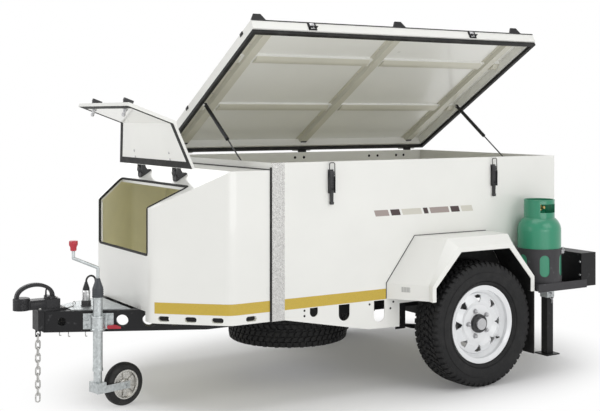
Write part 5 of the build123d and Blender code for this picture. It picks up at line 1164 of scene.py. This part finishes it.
# Rings of the crank's knob: radius, height, depth of the lobes
KNOB_RINGS = ((9, 800, 0), (14, 801, 0), (15.5, 806, 0), (15.5, 818, 0), (18, 824, 1),
              (21, 829, 1.4), (21, 845, 1.4), (19, 849.5, 1), (9, 850, 0))
KNOB_LOBES = 6
KNOB_STEPS = 48
CLAMP_LEVER = ((306, -24), (318, -19), (352, -17), (380, -28), (380, -36), (316, -36))
CLAMP_BACK = 268
CLAMP_FACE = 8
CLAMP_RIB = ((36, -33), (36, 35), (44, 30), (44, -28))
CLAMP_LUG = ((36, -6), (70, -6), (70, 6), (36, 6))

CLAMP_RING = mirrored(((24.2, 5), (35.5, 5), (36.5, 2)))
TUBE_BEAD = ((24.1, -4), (26, -4), (26.6, 0), (26, 4), (24.1, 4))
TUBE_CAP = ((21.4, 0), (25.5, 0), (26, 3), (26, 12), (25.5, 15), (24.1, 15), (24.1, 2), (21.4, 2))

# Rings round the jockey tube: profile, height
TUBE_RINGS = ((CLAMP_RING, 404), (CLAMP_RING, 466), (TUBE_BEAD, 556), (TUBE_CAP, 197))

boot = Shape()
boot.turned(JOCKEY_BOOT_PROFILE, JOCKEY, UP, steps=40)
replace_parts(boot.piece("jockey_ribbed_boot", "boot_grey"), "jockey_boot")

grips = Shape()
at = around(spot(2058, 188, 0), UP, AHEAD)
knob = []
for r, z, lobe in KNOB_RINGS:
    knob.append([at(turn, r + lobe * cos(KNOB_LOBES * turn), z) for turn in turns(KNOB_STEPS)])
grips.loft(knob)
grips.slab([arm_spot(back, up, 9) for back, up in CLAMP_LEVER], ARM_OUT * 12)
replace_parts(grips.piece("jockey_grip_and_lever", "red_plastic"), "jockey_grips")

clamp = Shape()
for hand in HANDS:
    for up in (-24, 26):
        clamp.bolt(arm_spot(CLAMP_BACK + 60 * hand, up, CLAMP_FACE), ARM_OUT, 8, 9)
    for outline, thick in ((CLAMP_RIB, 14), (CLAMP_LUG, 6)):
        corners = [arm_spot(CLAMP_BACK + a * hand, b, CLAMP_FACE) for a, b in outline]
        clamp.slab(corners, ARM_OUT * thick)
for profile, z in TUBE_RINGS:
    clamp.turned(profile, JOCKEY + UP * z, UP, steps=40)
clamp.piece("jockey_clamp_casting", "galvanised")

WHEEL = Vector(joints["jockey_spin"]["pos_m"]) / MM
WHEEL_AXIS = Vector(joints["jockey_spin"]["axis"]).normalized()
WHEEL_TYRE = ((74, 20), (75, 27), (80, 29), (90, 28.4), (98, 25.5), (104, 20.5), (107, 14),
              (107.6, 8.5), (106, 7.5), (106, 5.5), (108, 4.5))
WHEEL_LIP = ((66, 23), (74, 23), (75, 25), (73, 27), (67, 27), (65, 25))
WHEEL_HUB = ((21.9, 6), (30, 6), (27, 16), (21.9, 20))
SPOKE_COUNT = 6

# Rings of a spoke: height over the disc, corners as radius and place across
SPOKE_RINGS = (
    (5.8, ((22, 10), (64, 15), (64, -15), (22, -10))),
    (14, ((23.32, 7.2), (62.8, 10.8), (62.8, -10.8), (23.32, -7.2))),
)

tyre = Shape()
tyre.turned(mirrored(WHEEL_TYRE), WHEEL, WHEEL_AXIS, UP, 72)
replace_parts(tyre.piece("jockey_tyre_ribbed", "black_rubber", "jockey_wheel"), "jockey_tyre")
spokes = Shape()
across = WHEEL_AXIS.cross(UP)
for face in HANDS:
    for turn in turns(SPOKE_COUNT):
        out = UP * cos(turn) + across * sin(turn)
        side = WHEEL_AXIS.cross(out)
        rings = []
        for lift, corners in SPOKE_RINGS:
            rings.append([WHEEL + out * a + side * b + WHEEL_AXIS * face * lift for a, b in corners])
        spokes.loft(rings)
    for profile, steps in ((WHEEL_LIP, 56), (WHEEL_HUB, 40)):
        spokes.turned([(r, face * w) for r, w in profile], WHEEL, WHEEL_AXIS, UP, steps)
spokes.piece("jockey_rim_pressing", "jockey_alloy", "jockey_wheel")


# Gas bottles: collar edge, valve, strap clamp and band

BOTTLE = spot(-490, 763, 0)
COLLAR_R = 84
COLLAR_EDGE = 3.4
COLLAR_STEPS = 10
VALVE_BODY = ((2, 924), (16, 924), (16, 934), (11, 936), (11, 952), (14, 953), (14, 958), (2, 960))
VALVE_KNOB = ((2, 961), (20, 961), (22, 964), (22, 970), (20, 973), (2, 973))
STRAP_R = 125
STRAP_Z = 696
STRAP_TURN = radians(128)
STRAP_OUT = Vector((cos(STRAP_TURN), sin(STRAP_TURN), 0))
STRAP_ALONG = UP.cross(STRAP_OUT)
STRAP_WING = ((34, 2), (46, 2), (56, 19), (47, 21))
STRAP_BAND = ((125.2, 704), (126.5, 704), (126.5, 714), (125.2, 714))


def strap_spot(along, up, out):
    """Point on the left bottle's strap clamp."""
    return BOTTLE + STRAP_OUT * (STRAP_R + out) + UP * (STRAP_Z + up) + STRAP_ALONG * along


collar = Shape()
valve = Shape()
strap = Shape()
band = Shape()
for side in SIDES:
    for shape in (collar, valve, strap, band):
        shape.matrix = side
    for z in (984, 866):
        edge = [(cos(turn), sin(turn)) for turn in turns(COLLAR_STEPS)]
        edge = [(COLLAR_R + COLLAR_EDGE * a, z + COLLAR_EDGE * b) for a, b in edge]
        collar.turned(edge, BOTTLE, UP, steps=56)
    valve.turned(VALVE_BODY, BOTTLE, UP, steps=24)
    valve.rod(BOTTLE + Vector((0, 8, 942)), BOTTLE + Vector((0, 40, 942)), 9, 6, edge=1)
    valve.turned(VALVE_KNOB, BOTTLE, UP, steps=12)
    for along in (-14, 10):
        ear = ((along, -9), (along + 4, -9), (along + 4, 9), (along, 9))
        strap.slab([strap_spot(a, b, 0) for a, b in ear], STRAP_OUT * 13)
    strap.rod(strap_spot(-22, 0, 7), strap_spot(60, 0, 7), 3.6, 12, edge=0.8)
    strap.rod(strap_spot(-22, 0, 7), strap_spot(-15, 0, 7), 6, 6, edge=1)
    for hand in HANDS:
        strap.slab([strap_spot(a, b * hand, 0) for a, b in STRAP_WING], STRAP_OUT * 3.5)
    band.turned(STRAP_BAND, BOTTLE, UP, steps=64)
collar.piece("bottle_collar_edges", "bottle_green")
valve.piece("bottle_valves", "brass")
strap.piece("bottle_strap_clamps", "hub_steel")
band.piece("bottle_strap_bands", "holder_grey")


# Rear: lamp lenses, lamp and plate frames, bumper bolts, leg pins

LENS_REAR_X = -873
LENS_FRONT_X = -869.5
LAMP_FRAME = ((588, 533), (812, 533), (812, 637), (588, 637))
PLATE_FRAME = ((-221, 529), (221, 529), (221, 641), (-221, 641))
LEG_X = -880
LEG_Y = 430
PIN_Z = 378

amber = Shape()
clear = Shape()
frames = Shape()
pins = Shape()
for hand in HANDS:
    for shape, inner, outer in ((amber, 739, 804), (clear, 596, 655)):
        shape.box(spot(LENS_REAR_X, hand * inner, 541), spot(LENS_FRONT_X, hand * outer, 629), 2)
    loop = [spot(-866, hand * y, z) for y, z in LAMP_FRAME]
    frames.sweep(rounded(loop, 8, 4, True), 4.5, closed=True)
    for y in (662, 733):
        frames.box(spot(-872.5, hand * y - 3, 537), spot(LENS_FRONT_X, hand * y + 3, 633), 1)
    for z in (546, 621):
        pins.dome(spot(-735, hand * 838, z), AHEAD, 7, 4)
    pins.dome(spot(-853, hand * 190, 585), -AHEAD, 6, 3)
    leg = spot(LEG_X, hand * LEG_Y, PIN_Z)
    clip = leg + LEFT * 41
    pins.rod(leg - LEFT * 46, leg + LEFT * 46, 6, 16, edge=1.5)
    pins.rod(leg - LEFT * 50, leg - LEFT * 44, 11, 16, edge=1.5)
    pins.sweep(arc(clip - UP * 20, AHEAD, UP, 16, 70, 400, 20), 1.8)
    pins.sweep([clip - UP * 36, clip + Vector((2, 1, -62))], 1.8)
border = [spot(-853, y, z) for y, z in PLATE_FRAME]
frames.sweep(rounded(border, 8, 4, True), 3.5, closed=True)
for y in (-120, 120):
    frames.box(spot(-868, y - 26, 648), spot(-850, y + 26, 664), 4)
amber.piece("lamp_amber_lenses", "lamp_amber")
clear.piece("lamp_clear_lenses", "lamp_clear")
frames.piece("lamp_and_plate_frames", "black_plastic")
pins.piece("leg_pins_and_bolts", "hub_steel")


low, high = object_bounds()
{"cad": [list(cad_low), list(cad_high)], "visual": [list(low), list(high)]}
